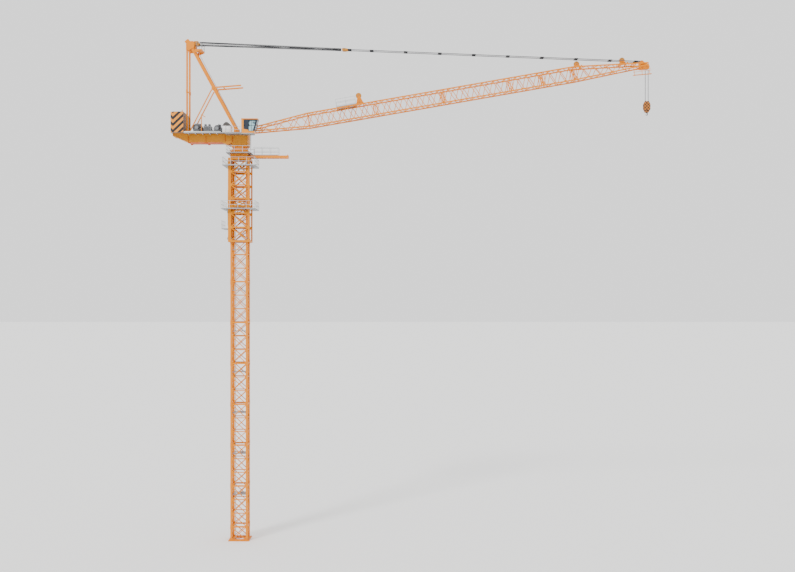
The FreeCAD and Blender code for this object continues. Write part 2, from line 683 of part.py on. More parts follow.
stop_start = (f"{knee_x} + 163", f"{knee_z} + 60")
stop_end = (f"{knee_x} + 90 + backstop_reach", f"{knee_z} + 200")
stop_bars = [bar_between(stop_start, stop_end, "95", y) for y in brace_sides]
stop_cross = box((f"{knee_x} + 620", f"{knee_x} + 680"), ("-frame_half", "frame_half"),
                 (f"{knee_z} + 75", f"{knee_z} + 135"))
keep("backstops", join("Backstops", stop_bars + [stop_cross]))

head_outline = [("-3765", "34850"), ("-3500", "34850"), ("-3330", "34960"), ("-3180", "35020"),
                ("-3180", "35330"), ("-3240", "35480"), ("-3470", "35470"), ("-3600", "35620"),
                ("-3680", "35610"), ("-3850", "35460"), ("-3850", "35390"), ("-3765", "35360")]
cheeks = [side_plate(head_outline, (y, f"{y} + 40")) for y in
          ("-frame_half - frame_bar / 2 - 41", "frame_half + frame_bar / 2 + 1",
           "-line_half - 95", "line_half + 55")]
head_span = ("-frame_half - frame_bar / 2 - 1", "frame_half + frame_bar / 2 + 1")
head_tubes = [cross_rod("75", x, z, head_span) for x, z in (("-3660", "35490"), ("-3680", "35150"))]
head_tubes += [cross_rod("sheave_pin", "pulley_pin_x", "pulley_pin_z", ("-line_half - 95", "line_half + 95"))]
keep("a_frame_head", join("FrameHead", cheeks + head_tubes))
keep("head_platform", join("HeadPlatform", [
    box(("-3100", "-2640"), ("-590", "590"), ("34860", "34900")),
    side_plate([("-3140", "34640"), ("-3140", "34861"), ("-2640", "34861")], ("-590", "-530")),
    side_plate([("-3140", "34640"), ("-3140", "34861"), ("-2640", "34861")], ("530", "590"))]))


def leaning_ladder(start, end, y):
    """Ladder between two (x, z) points, its rungs along Y."""
    run = Vector(end[0] - start[0], 0, end[1] - start[1])
    length = run.Length
    run.normalize()
    return ladder_shape(0, length, (Vector(start[0], y, start[1]), Vector(0, 1, 0), run))


strut_run = Vector(size("strut_head_x") - size("strut_foot_x"), 0,
                   size("strut_head_z") - size("strut_foot_z"))
stand_off = Vector(strut_run.z, 0, -strut_run.x).normalize() * 290
ladder_start = (size("strut_foot_x") + stand_off.x, size("girder_top"))
ladder_end = (size("strut_head_x") + strut_run.x * -0.04 + stand_off.x, 34830)
front_ladder = ladder_shape(27750, 28860, (Vector(740, 0, 0), Vector(0, 1, 0), Vector(0, 0, 1)))
keep("platform_ladders", shape_piece("platform_ladders", Part.Compound(
    [leaning_ladder(ladder_start, ladder_end, 0), front_ladder])))


# ---- winches, cabinet, davit on the machinery deck -------------------------------------------

def winch(name, x, drum_radius, drum_half, height):
    """Fixed frame of a winch: two bearing plates, a bed and a drive motor."""
    low = "girder_top"
    axis = f"{low} + {height}"
    plates = [side_plate([(f"{x} - {drum_radius} - 60", low), (f"{x} + {drum_radius} + 60", low),
                          (f"{x} + 110", f"{axis} + 90"), (f"{x} - 110", f"{axis} + 90")], y)
              for y in ((f"-{drum_half} - 60", f"-{drum_half} - 20"),
                        (f"{drum_half} + 20", f"{drum_half} + 60"))]
    bed = box((f"{x} - {drum_radius} - 60", f"{x} + {drum_radius} + 60"),
              (f"-{drum_half} - 60", f"{drum_half} + 60"), (low, f"{low} + 40"))
    motor = cross_rod("120", x, axis, (f"-{drum_half} - 330", f"-{drum_half} - 59"))
    return join(name, plates + [bed, motor])


def drum(name, x, radius, half, height):
    """Winch drum with two rims; it ends clear of the bearing plates."""
    axis = f"girder_top + {height}"
    barrel = cross_rod(f"{radius} - 55", x, axis, (f"-{half}", half))
    rims = [cross_rod(radius, x, axis, y) for y in ((f"-{half}", f"-{half} + 30"),
                                                    (f"{half} - 30", half))]
    return join(name, [barrel] + rims)


keep("hoist_winch_frame", winch("HoistFrame", "-3000", "340", "360", "400"))
keep("hoist_drum", drum("HoistDrum", "-3000", "330", "360", "400"))
keep("luffing_winch_frame", winch("LuffFrame", "-1570", "290", "330", "350"))
keep("luffing_drum", drum("LuffDrum", "-1570", "280", "330", "350"))
keep("hydraulic_pack", box(("-2560", "-2040"), ("-330", "330"), ("girder_top", "girder_top + 560")))
hood = side_plate([("-1220", "girder_top + 555"), ("-620", "girder_top + 555"),
                   ("-720", "girder_top + 720"), ("-860", "girder_top + 830"),
                   ("-980", "girder_top + 830"), ("-1120", "girder_top + 720")], ("-420", "420"))
keep("electrical_cabinet", join("Cabinet", [
    box(("-1210", "-630"), ("-410", "410"), ("girder_top", "girder_top + 556")), hood]))
keep("service_davit", join("Davit", [
    post("32", "-2680", "-470", ("girder_top", "girder_top + 1370")),
    bar_between(("-2680", "girder_top + 1330"), ("-2410", "girder_top + 1170"), "50", ("-495", "-445"))]))


# ---- operator's cab ---------------------------------------------------------------------------

CAB_RIGHT, CAB_LEFT = "-1440", "-730"
cab_profile = [("290", "28830"), ("1180", "28830"), ("1435", "29780"), ("290", "29780")]
cab_body = document.addObject("PartDesign::Body", "CabBody")
pad(cab_body, "Shell", "XZ_Plane", cab_profile, f"-({CAB_LEFT})", f"{CAB_LEFT} - ({CAB_RIGHT})")
room = [("325", "28865"), ("1153", "28865"), ("1392", "29745"), ("325", "29745")]
pocket(cab_body, "Room", "XZ_Plane", room, f"-({CAB_LEFT}) + 35", f"{CAB_LEFT} - ({CAB_RIGHT}) - 70",
       reverse=True)
side_window = [("800", "28960"), ("1112", "28960"), ("1322", "29690"), ("800", "29690")]
window_cut = side_plate(side_window, ("-1500", "-700"))
front_cut = box(("1080", "1600"), ("-1370", "-800"), ("28990", "29690"))
rear_door = box(("200", "400"), ("-1290", "-880"), ("28866", "29650"))
keep("cab_shell", cut("CabShell", cab_body, join("CabOpenings", [window_cut, front_cut, rear_door])))
keep("cab_roof", box(("275", "1445"), ("-1450", "-720"), ("29780", "29850")))
glass_sides = [side_plate([("802", "28962"), ("1109", "28962"), ("1317", "29688"), ("802", "29688")], y)
               for y in (("-1428", "-1420"), ("-750", "-742"))]
front_glass = side_plate([("1201", "28992"), ("1209", "28992"), ("1397", "29688"), ("1389", "29688")],
                         ("-1368", "-802"))
keep("cab_glass", group("CabGlass", glass_sides + [front_glass]))
keep("cab_platform", group("CabPlatform", [
    join("CabDeck", [box(("255", "1140"), ("-1450", "-girder_half"), ("28770", "28830")),
                     box(("255", "girder_front - 31"), ("-girder_half", "-girder_web"),
                         ("28770", "28830"))]),
    box(("-850", "245"), ("-1450", "-girder_web"), ("28790", "28830"))]))


# ---- jib: built level from its foot pin, then raised to its angle ------------------------------

reach = size("root_length")
body_end = reach + 3 * size("section_length") + 2 * size("short_length")
jib_end = body_end + size("head_length")
depth = size("jib_depth")
chord = size("jib_chord")


def low_line(u):
    """Centre of the lower chord above the foot pin's level at a place along the jib."""
    if u > body_end:
        return -depth / 2 + size("head_rise") * (u - body_end) / size("head_length")
    return -size("root_depth") / 2 - (depth - size("root_depth")) / 2 * min(1, u / reach)


def high_line(u):
    """Centre of the upper chord."""
    if u <= body_end:
        return -low_line(u)
    return depth / 2 - (depth - size("head_depth")) * (u - body_end) / size("head_length")


def spaced(start, end, count):
    """Node places from start to end."""
    return [start + (end - start) * i / count for i in range(count + 1)]


def jib_sections():
    """Start, end and number of half bays of each section of the jib."""
    sections = [(0, reach, 8)]
    start = reach
    for _ in range(3):
        sections.append((start, start + size("section_length"), 12))
        start += size("section_length")
    for _ in range(2):
        sections.append((start, start + size("short_length"), 6))
        start += size("short_length")
    return sections + [(start, jib_end, 12)]


def raised(thing):
    """Turn a piece from the level jib frame about the foot pin."""
    return move(thing, "pivot_x", "0", "pivot_z", "jib_angle")


def jib_side(side):
    """One side frame of the jib: two chords and the zigzag lacing between them."""
    lacing_y = side * size("jib_half") + size("jib_brace") / 2
    half_chord = chord / 2
    plane = (Vector(0, lacing_y, 0), Vector(1, 0, 0), Vector(0, 0, 1))
    windows = []
    for start, end, count in jib_sections():
        lines = (low_line, high_line) if side < 0 else (high_line, low_line)
        windows += zigzag(*lines, size("jib_brace"), chord / 2, spaced(start, end, count))
    turns = [0, reach, body_end, jib_end]
    edges = [(u, low_line(u)) for u in turns]
    edges += [(u, high_line(u)) for u in reversed(turns)]
    lacing = lattice_plate(edges, windows, size("jib_brace"), plane)
    chords = []
    chord_plane = (Vector(0, side * size("jib_half") + half_chord, 0), Vector(1, 0, 0),
                   Vector(0, 0, 1))
    for line in (low_line, high_line):
        border = [(u, line(u) - half_chord) for u in turns]
        border += [(u, line(u) + half_chord) for u in reversed(turns)]
        chords.append(lattice_plate(border, [], chord, chord_plane))
    def round_bar(radius, margin):
        start = Vector(0, side * size("jib_half") - half_chord - margin, 0)
        return Part.makeCylinder(radius, chord + 2 * margin, start, Vector(0, 1, 0))

    frame = lacing.fuse(chords + [round_bar(size("foot_radius"), 0)])
    return frame.cut(round_bar(size("pin_radius") + size("pin_gap"), 1)).removeSplitter()


def jib_panel(line, start, end, count):
    """Lacing between the chords of the top or bottom, following the line from start to end."""
    wide = size("jib_half") - chord / 2
    first = Vector(end - start, 0, line(end) - line(start))
    length = first.Length
    first.normalize()
    origin = Vector(start, 0, line(start)) + Vector(-first.z, 0, first.x) * -(size("jib_brace") / 2)
    windows = zigzag(lambda u: -wide, lambda u: wide, size("jib_brace"), size("jib_brace") / 2,
                     spaced(0, length, count))
    border = [(0, -wide), (length, -wide), (length, wide), (0, wide)]
    return lattice_plate(border, windows, size("jib_brace"), (origin, first, Vector(0, 1, 0)))


for name, side in (("jib_side_right", -1), ("jib_side_left", 1)):
    keep(name, raised(shape_piece(name, jib_side(side))))


SEAM = 4
EAR_REACH = 150
top_panels = [(EAR_REACH, reach - SEAM, 8), (reach + SEAM, body_end - SEAM, 48),
              (body_end + SEAM, jib_end - 800, 10)]
low_panels = [(EAR_REACH, reach - SEAM, 8), (reach + SEAM, body_end - SEAM, 48),
              (body_end + SEAM, jib_end - 2450, 6)]
keep("jib_top_lacing", raised(shape_piece("jib_top_lacing", Part.Compound(
    [jib_panel(high_line, *panel) for panel in top_panels]))))
keep("jib_bottom_lacing", raised(shape_piece("jib_bottom_lacing", Part.Compound(
    [jib_panel(low_line, *panel) for panel in low_panels]))))

# places in the level jib frame
tilt = math.radians(size("jib_angle"))


def on_jib(x, z):
    """Place of a point of the raised jib in the level jib frame."""
    dx, dz = x - size("pivot_x"), z - size("pivot_z")
    return (dx * math.cos(tilt) + dz * math.sin(tilt), dz * math.cos(tilt) - dx * math.sin(tilt))


tip_u, tip_v = on_jib(size("tip_x"), size("tip_z"))
link_u, link_v = on_jib(size("link_pin_x"), size("link_pin_z"))
jib_clear = "(jib_half - jib_chord / 2)"
cheek_outline = [(tip_u - 560, tip_v + 220), (tip_u - 560, tip_v - 40), (tip_u - 60, tip_v - 90),
                 (tip_u + 90, tip_v - 90), (tip_u + 200, tip_v + 20), (tip_u + 200, tip_v + 150),
                 (tip_u + 60, tip_v + 330), (tip_u - 460, tip_v + 330)]
head_pieces = [side_plate(cheek_outline, y) for y in (("-95", "-65"), ("65", "95"))]
head_pieces += [cross_rod("48", u, v, (f"-{jib_clear}", jib_clear))
                for u, v in ((tip_u - 480, tip_v + 310), (tip_u - 60, tip_v + 290))]
head_pieces += [cross_rod("sheave_pin", tip_u, tip_v, ("-95", "95"))]
lug_outline = [(tip_u - 520, tip_v + 330), (tip_u - 30, tip_v + 290), (link_u + 62, link_v + 62),
               (link_u - 62, link_v + 62)]
head_pieces += [side_plate(lug_outline, y) for y in (
    ("-line_half - 40", "-line_half - 15"), ("15 - line_half", "40 - line_half"),
    ("line_half - 40", "line_half - 15"), ("line_half + 15", "line_half + 40"))]
keep("jib_head", raised(join("JibHead", head_pieces)))

ear_outline = [("380", "girder_top"), ("girder_front", "girder_top"), ("750", "pivot_z - 60"),
               ("750", "pivot_z + 60"), ("pivot_x + 40", "pivot_z + 130"), ("pivot_x - 90", "pivot_z + 130")]
ears = []
for side in (-1, 1):
    place = f"{side} * jib_half"
    gap = "(jib_chord / 2 + 10)"
    ears.append(join("Ear", [
        side_plate(ear_outline, (f"{place} - {gap} - pin_ear", f"{place} - {gap}")),
        side_plate(ear_outline, (f"{place} + {gap}", f"{place} + {gap} + pin_ear")),
        cross_rod("pin_radius", "pivot_x", "pivot_z",
                  (f"{place} - {gap} - pin_ear - 12", f"{place} + {gap} + pin_ear + 12"))]))
keep("jib_foot_ears", group("FootEars", ears))

# walkway on the jib, in the level jib frame
walk_start, walk_finish = 6470, 7890
walk_v = depth / 2 + chord / 2
wide = "(jib_half + jib_chord / 2)"
keep("jib_platform", raised(group("JibDeck", [box(
    (walk_start, walk_finish), (f"-{wide}", wide), (walk_v, f"{walk_v} + deck_thickness"))])))
panel_y = size("jib_half") + chord / 2
jib_rails = [rail_panel((walk_start, y), (walk_finish, y), walk_v + deck)
             for y in (size("rail_bar") - panel_y, panel_y)]
keep("jib_railing", raised(shape_piece("jib_railing", Part.Compound(jib_rails))))

basket_floor = [(27650, -838), (28950, -948), (28950, -978), (27650, -868)]
baskets = []
for side in (-1,):
    inner_y, outer_y = (side * 300, side * 560)
    span = (min(inner_y, outer_y), max(inner_y, outer_y))
    edge_y = (side * 560, side * 530)
    edge = (min(edge_y), max(edge_y))
    posts = [box((u, u + 30), edge, (-920, low_line(u) - chord / 2 - 1)) for u in (27720, 28270, 28790)]
    rails = [side_plate([(27655, v), (28945, v - 60), (28945, v - 85), (27655, v - 25)], edge)
             for v in (-506, -640)]
    baskets.append(join("Basket", [side_plate(basket_floor, span)] + posts + rails))
keep("tip_basket", raised(group("Baskets", baskets)))


# ---- sheaves: grooved discs on pins held by brackets on the jib ---------------------------------

def sheave(name, u, v, radius):
    """Grooved disc with a running bore, in the level jib frame."""
    disc = cross_rod(radius, u, v, ("-sheave_width / 2", "sheave_width / 2"))
    bore = cross_rod("sheave_pin + pin_gap", u, v, ("-sheave_width", "sheave_width"))
    groove = document.addObject("Part::Torus", "Groove")
    groove.Placement = FreeCAD.Placement(Vector(), FreeCAD.Rotation(Vector(1, 0, 0), 90))
    bind(groove, Radius1=f"{radius} + 2", Radius2="rope_radius + 3", Placement__Base__x=u,
         Placement__Base__z=v)
    return cut(name, disc, join("SheaveVoid", [bore, groove]))


guides = {"lower_guide_sheave": on_jib(8550, 31250), "upper_guide_sheave": on_jib(8465, 31695),
          "middle_guide_sheave": on_jib(24050, 33950), "outer_guide_sheave": on_jib(27300, 34215)}
keep("guide_sheaves", raised(group("GuideSheaves", [
    sheave(name, u, v, "sheave_radius") for name, (u, v) in guides.items()])))
keep("tip_sheave", raised(sheave("tip_sheave", tip_u, tip_v, "fall_half + 15")))


BRACKET_REACH = 270
BEAM = 60


def bracket(places):
    """Two plates on two cross beams over the upper chords, with a pin for each sheave place."""
    low_u, low_v = places[0]
    top_u, top_v = places[-1]
    rear, front = low_u - BRACKET_REACH, low_u + BRACKET_REACH
    rear_foot = high_line(rear) + chord / 2 + 1
    front_foot = high_line(front - BEAM) + chord / 2 + 1
    corners = [(rear, rear_foot), (front, front_foot), (front, front_foot + BEAM),
               (top_u + 60, top_v + 60), (top_u - 60, top_v + 60), (rear, rear_foot + BEAM)]
    parts = [side_plate(corners, y) for y in (("-62", "-36"), ("36", "62"))]
    parts += [box((start, start + BEAM), (f"-{wide}", wide), (foot, foot + BEAM))
              for start, foot in ((rear, rear_foot), (front - BEAM, front_foot))]
    parts += [cross_rod("sheave_pin", u, v, ("-75", "75")) for u, v in places]
    return join("Bracket", parts)


stacked = [guides["lower_guide_sheave"], guides["upper_guide_sheave"]]
keep("sheave_brackets", raised(group("SheaveBrackets", [
    bracket(stacked), bracket([guides["middle_guide_sheave"]]),
    bracket([guides["outer_guide_sheave"]])])))


# ---- luffing line: built along +X from the upper pulley pin, then turned to the line -----------

line_run = "(link_pin_x - pulley_pin_x)"
line_rise = "(link_pin_z - pulley_pin_z)"
line_slope = f"atan({line_rise} / {line_run})"
line_length = f"sqrt(pow({line_run}; 2) + pow({line_rise}; 2))"
line_reach = math.hypot(size("link_pin_x") - size("pulley_pin_x"),
                        size("link_pin_z") - size("pulley_pin_z"))


def lined(thing):
    """Turn a piece onto the line between the upper pulley pin and the jib head."""
    return move(thing, "pulley_pin_x", "0", "pulley_pin_z", line_slope)


def line_rod(radius, start, end, y, z="0", fall="0"):
    """Round bar along the line, drawing nearer to it by the fall."""
    rod = document.addObject("Part::Cylinder", "LineRod")
    rod.Placement = FreeCAD.Placement(Vector(), FreeCAD.Rotation(Vector(0, 1, 0), 90))
    bind(rod, Radius=radius, Height=f"({end}) - ({start})", Placement__Base__x=start,
         Placement__Base__y=y, Placement__Base__z=z,
         Placement__Rotation__Angle=f"90 deg + atan(({fall}) / (({end}) - ({start})))")
    return rod


block_wide = "(line_half + 40)"
sleeve = cut("Sleeve", cross_rod("58", "0", "0", (f"-{block_wide}", block_wide)),
             cross_rod("sheave_pin + pin_gap", "0", "0", ("-line_half - 60", "line_half + 60")))
upper_cheek = [("-10", "-57"), ("60", "-150"), ("330", "-150"), ("400", "-60"), ("400", "60"),
               ("330", "150"), ("60", "150"), ("-10", "57")]
hollow = cross_rod("sheave_pin + pin_gap", "0", "0", ("-line_half - 60", "line_half + 60"))
upper_plates = [cut("Cheek", side_plate(upper_cheek, y), hollow) for y in
                ((f"-{block_wide}", f"30 - {block_wide}"), (f"{block_wide} - 30", block_wide))]
upper_discs = [cross_rod("125", "230", "0", (f"{y} - 22", f"{y} + 22")) for y in (-140, -70, 0, 70, 140)]
upper_axle = cross_rod("32", "230", "0", (f"-{block_wide} - 10", f"{block_wide} + 10"))
keep("upper_pulley_block", lined(join("UpperBlock", [sleeve, upper_axle] + upper_plates + upper_discs)))

rope_starts = [(y, side) for y in (-140, -70, 70, 140) for side in (-1, 1)]
keep("luffing_ropes", lined(group("LuffingRopes", [
    line_rod("rope_radius", "420", "floating_start - 260", y, f"{side} * 112", f"{side} * 52")
    for y, side in rope_starts])))

float_cheek = [("floating_start - 200", "-60"), ("floating_start - 150", "-85"),
               ("floating_start + 30", "-85"), ("floating_start + 220", "-45"),
               ("floating_start + 220", "45"), ("floating_start + 30", "85"),
               ("floating_start - 150", "85"), ("floating_start - 200", "60")]
float_plates = [side_plate(float_cheek, y) for y in (("-line_half - 15", "15 - line_half"),
                                                     ("line_half - 15", "line_half + 15"))]
float_discs = [cross_rod("70", "floating_start - 90", "0", (f"{y} - 22", f"{y} + 22"))
               for y in (-140, -70, 0, 70, 140)]
float_axles = [cross_rod(radius, x, "0", ("-line_half - 30", "line_half + 30"))
               for radius, x in (("32", "floating_start - 90"), ("30", "floating_start + 160"))]
keep("floating_block", lined(join("FloatingBlock", float_plates + float_discs + float_axles)))

bar_start = "floating_start + 221"
lines = []
for side in (-1, 1):
    y = f"{side} * line_half"
    parts = [line_rod("26", bar_start, f"{line_length} - 280", y)]
    count = int((line_reach - size("floating_start") - 600) / size("bar_length"))
    for number in range(1, count + 1):
        at = f"floating_start + {number} * bar_length - 520"
        parts.append(box((f"{at} - 110", f"{at} + 110"), (f"{y} - 36", f"{y} + 36"), ("-38", "38")))
    parts.append(box((f"{line_length} - 330", f"{line_length} + 45"), (f"{y} - 10", f"{y} + 10"),
                     ("-40", "40")))
    lines.append(join("Pendant", parts))
keep("pendants", lined(group("Pendants", lines)))


# ---- hoist rope, hook block and hook -------------------------------------------------------------

keep("hoist_falls", group("Falls", [
    post("18", f"tip_x + {side} * fall_half", "0", ("hook_top + 8", "tip_z - fall_half - 30"))
    for side in (-1, 1)]))
top, bottom = "hook_top", "hook_top - hook_plate"
cheek = [("tip_x - 130", top), ("tip_x + 130", top), ("tip_x + hook_half", f"{top} - 230"),
         ("tip_x + hook_half", f"{top} - 560"), ("tip_x + 110", bottom), ("tip_x - 110", bottom),
         ("tip_x - hook_half", f"{top} - 560"), ("tip_x - hook_half", f"{top} - 230")]
hook_parts = [side_plate(cheek, y) for y in (("-95", "-60"), ("60", "95"))]
hook_parts += [cross_rod("118", "tip_x", f"{top} - 200", ("-25", "25")),
               cross_rod("30", "tip_x", f"{top} - 200", ("-110", "110")),
               box(("tip_x - 90", "tip_x + 90"), ("-61", "61"), (bottom, f"{bottom} + 110"))]
shank_hole = post("34 + pin_gap", "tip_x", "0", (f"{bottom} - 1", f"{bottom} + 111"))
keep("hook_block", cut("HookBlock", join("BlockBody", hook_parts), shank_hole))

curl = document.addObject("Part::Torus", "Curl")
curl.Placement = FreeCAD.Placement(Vector(), FreeCAD.Rotation(Vector(1, 0, 0), 90))
bind(curl, Radius1="70", Radius2="24", Angle3="250", Placement__Base__x="tip_x",
     Placement__Base__z=f"{bottom} - 110")
curl.Placement = FreeCAD.Placement(curl.Placement.Base,
                                   FreeCAD.Rotation(Vector(1, 0, 0), 90)
                                   * FreeCAD.Rotation(Vector(0, 0, 1), -160))
keep("hook", join("Hook", [curl, post("34", "tip_x", "0", (f"{bottom} - 60", f"{bottom} + 118")),
                           post("52", "tip_x", "0", (f"{bottom} + 118", f"{bottom} + 160"))]))


# ---- finish: test every object and write one file for each piece ----------------------------------

document.recompute()
broken = [thing.Name for thing in document.Objects
          if "Invalid" in thing.State or "Error" in thing.State]
if broken:
    raise RuntimeError("failed objects: " + ", ".join(broken))
for piece in pieces:
    if piece.Shape.isNull() or not piece.Shape.isValid():
        raise RuntimeError("bad shape: " + piece.Label)
os.makedirs("parts", exist_ok=True)
for piece in pieces:
    piece.Shape.exportStep(f"parts/{piece.Label}.step")
print(len(pieces), "pieces written")
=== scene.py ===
import bpy
import bmesh
import math
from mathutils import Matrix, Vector


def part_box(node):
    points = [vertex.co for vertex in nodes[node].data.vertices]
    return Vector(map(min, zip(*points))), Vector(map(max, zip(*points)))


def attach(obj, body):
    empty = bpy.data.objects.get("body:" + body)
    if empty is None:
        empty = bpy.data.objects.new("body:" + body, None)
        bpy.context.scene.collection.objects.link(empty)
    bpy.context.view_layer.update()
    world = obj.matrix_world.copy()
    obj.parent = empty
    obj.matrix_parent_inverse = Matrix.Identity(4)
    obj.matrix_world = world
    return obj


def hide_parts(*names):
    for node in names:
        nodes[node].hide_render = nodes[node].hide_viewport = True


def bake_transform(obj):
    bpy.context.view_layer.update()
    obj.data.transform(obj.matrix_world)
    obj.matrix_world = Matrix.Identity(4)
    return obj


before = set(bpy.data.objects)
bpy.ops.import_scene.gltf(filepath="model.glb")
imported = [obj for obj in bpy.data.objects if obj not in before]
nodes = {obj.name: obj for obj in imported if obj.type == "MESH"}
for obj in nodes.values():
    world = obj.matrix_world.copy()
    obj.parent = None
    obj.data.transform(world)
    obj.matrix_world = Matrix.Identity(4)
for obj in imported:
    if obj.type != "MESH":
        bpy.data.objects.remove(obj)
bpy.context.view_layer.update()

# ---- Camera, floor and light -----------------------------------------------------------------
# The crane is seen square on to its jib from about half its height, with an ordinary lens.
# The floor is plain and pale, and the light is a wide soft sky with one soft sun.

EYE = (11.25, -74.6, 18.085)
LENS = 47.23
FAR_CLIP = 600
FLOOR_SIZE = 900
FLOOR_DROP = 0.002
SKY_STRENGTH = 1.45
SUN_STRENGTH = 2.3
SUN_TURN = (52, -14, -24)

camera_data = bpy.data.cameras.new("camera")
camera_data.lens = LENS
camera_data.clip_end = FAR_CLIP
camera = bpy.data.objects.new("camera", camera_data)
camera.location = EYE
camera.rotation_euler = (math.radians(90), 0, 0)
bpy.context.collection.objects.link(camera)
bpy.context.scene.camera = camera


def linear(hex_colour):
    """sRGB hex to a linear RGBA colour."""
    channels = [int(hex_colour[i:i + 2], 16) / 255 for i in (1, 3, 5)]
    return [c / 12.92 if c <= 0.04045 else ((c + 0.055) / 1.055) ** 2.4 for c in channels] + [1.0]


def plug(tree, node, inputs):
    """Link or set a node's inputs, each found by its name or number."""
    for name, source in inputs.items():
        if isinstance(source, bpy.types.NodeSocket):
            tree.links.new(source, node.inputs[name])
        else:
            node.inputs[name].default_value = source


def add(tree, kind, inputs=None, **settings):
    """Add a node: settings name its properties or inputs, and inputs are then plugged."""
    node = tree.nodes.new(kind)
    for name, value in settings.items():
        if hasattr(node, name):
            setattr(node, name, value)
        else:
            label = name.replace("_", " ").lower()
            socket = next(s for s in node.inputs if s.name.lower() == label and s.enabled)
            socket.default_value = value
    plug(tree, node, inputs or {})
    return node


def new_material(name):
    """Material with its node tree, its shader and the Object coordinates."""
    material = bpy.data.materials.new(name)
    material.use_nodes = True
    tree = material.node_tree
    place = add(tree, "ShaderNodeTexCoord").outputs["Object"]
    return material, tree, tree.nodes["Principled BSDF"], place


bpy.ops.object.select_all(action="DESELECT")
bpy.ops.mesh.primitive_plane_add(size=FLOOR_SIZE, location=(0, 0, -FLOOR_DROP))
floor = bpy.context.object
floor.name = "floor"
floor_paint, floor_tree, floor_shader = new_material("pale_floor")[:3]
plug(floor_tree, floor_shader, {"Base Color": linear("#F4F4F3"), "Roughness": 0.9})
floor.data.materials.append(floor_paint)

world = bpy.data.worlds.new("soft_sky")
world.use_nodes = True
plug(world.node_tree, world.node_tree.nodes["Background"],
     {"Color": linear("#FFFFFF"), "Strength": SKY_STRENGTH})
bpy.context.scene.world = world
sun_data = bpy.data.lights.new("sun", "SUN")
sun_data.energy = SUN_STRENGTH
sun_data.angle = math.radians(12)
sun = bpy.data.objects.new("sun", sun_data)
sun.rotation_euler = [math.radians(turn) for turn in SUN_TURN]
bpy.context.collection.objects.link(sun)

# ---- Tower -----------------------------------------------------------------------------------
# Nine bolted sections of welded hollow section and angle, with crossed diagonals in every bay.
# Two-pack orange enamel over blasted steel: even and fairly glossy, faded in soft clouds.


def wear(name, base, worn, rough, scale, amount=0.5, metallic=0.0, bump=0.15):
    """Coated steel: cloudy fading of the coat, fine orange-peel bump and rougher dull patches."""
    material, tree, shader, place = new_material(name)
    cloud = add(tree, "ShaderNodeTexNoise", {"Vector": place}, Scale=scale, Detail=6.0,
                Roughness=0.62).outputs["Fac"]
    ramp = add(tree, "ShaderNodeValToRGB", {"Fac": cloud})
    ramp.color_ramp.elements[0].position = 0.5 - amount / 2
    ramp.color_ramp.elements[1].position = 0.5 + amount / 2
    ramp.color_ramp.elements[0].color = linear(worn)
    ramp.color_ramp.elements[1].color = linear(base)
    gloss = add(tree, "ShaderNodeMapRange", {"Value": cloud}, From_Min=0.3, From_Max=0.7,
                To_Min=min(1.0, rough + 0.16), To_Max=rough)
    peel = add(tree, "ShaderNodeTexNoise", {"Vector": place}, Scale=240.0, Detail=2.0)
    height = add(tree, "ShaderNodeBump", {"Height": peel.outputs["Fac"]}, Strength=bump,
                 Distance=0.0006)
    plug(tree, shader, {"Base Color": ramp.outputs["Color"], "Roughness": gloss.outputs["Result"],
                        "Normal": height.outputs["Normal"], "Metallic": metallic,
                        "Specular IOR Level": 0.25})
    return material


def finish(material, *names):
    """Give CAD nodes a finish."""
    for name in names:
        for slot in nodes[name].material_slots:
            slot.material = material


orange_enamel = wear("orange_enamel_on_steel", "#E08600", "#D67A00", 0.42, 1.3)
finish(orange_enamel, "base_frame", "mast_side_right", "mast_side_left", "mast_side_front",
       "mast_side_rear")

half_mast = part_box("mast_side_left")[1][0]
LEG = 0.13
BASE_TOP = 0.995
SECTION = 2.9
SECTIONS = 9
PLATE_WIDE = 0.075
PLATE_TALL = 0.17
PIN_RISE = 0.09


def keep_piece(name, body, material):
    """Name the active object, apply its place, give it its finish and let it ride on a body."""
    piece = bpy.context.object
    piece.name = name
    bpy.ops.object.transform_apply(location=True, rotation=True, scale=True)
    piece.data.materials.clear()
    piece.data.materials.append(material)
    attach(piece, body)
    return piece


def start_mesh():
    """Deselect everything, as a new part is begun."""
    if bpy.context.object and bpy.context.object.mode != "OBJECT":
        bpy.ops.object.mode_set(mode="OBJECT")
    bpy.ops.object.select_all(action="DESELECT")


def block(low, high, bevel=0.0):
    """Box from corner to corner with its edges eased."""
    start_mesh()
    bpy.ops.mesh.primitive_cube_add(size=1, location=[(a + b) / 2 for a, b in zip(low, high)])
    made = bpy.context.object
    made.scale = [b - a for a, b in zip(low, high)]
    bpy.ops.object.transform_apply(location=True, rotation=True, scale=True)
    if bevel:
        bpy.ops.object.mode_set(mode="EDIT")
        bpy.ops.mesh.select_all(action="SELECT")
        bpy.ops.mesh.bevel(offset=bevel, segments=2, affect="EDGES")
        bpy.ops.object.mode_set(mode="OBJECT")
    return made


def bar(start, end, radius, sides=10, ease=0.0):
    """Round bar between two points with eased ends."""
    start_mesh()
    start, end = Vector(start), Vector(end)
    run = end - start
    bpy.ops.mesh.primitive_cylinder_add(vertices=sides, radius=radius, depth=run.length,
                                        location=(start + end) / 2)
    made = bpy.context.object
    made.rotation_euler = run.to_track_quat("Z", "Y").to_euler()
    bpy.ops.object.transform_apply(location=True, rotation=True, scale=True)
    if ease:
        bpy.ops.object.mode_set(mode="EDIT")
        bpy.ops.mesh.select_all(action="DESELECT")
        bpy.ops.object.mode_set(mode="OBJECT")
        for face in made.data.polygons:
            face.select = len(face.vertices) > 4
        bpy.ops.object.mode_set(mode="EDIT")
        bpy.ops.mesh.bevel(offset=ease, segments=1, affect="EDGES")
        bpy.ops.object.mode_set(mode="OBJECT")
    return made


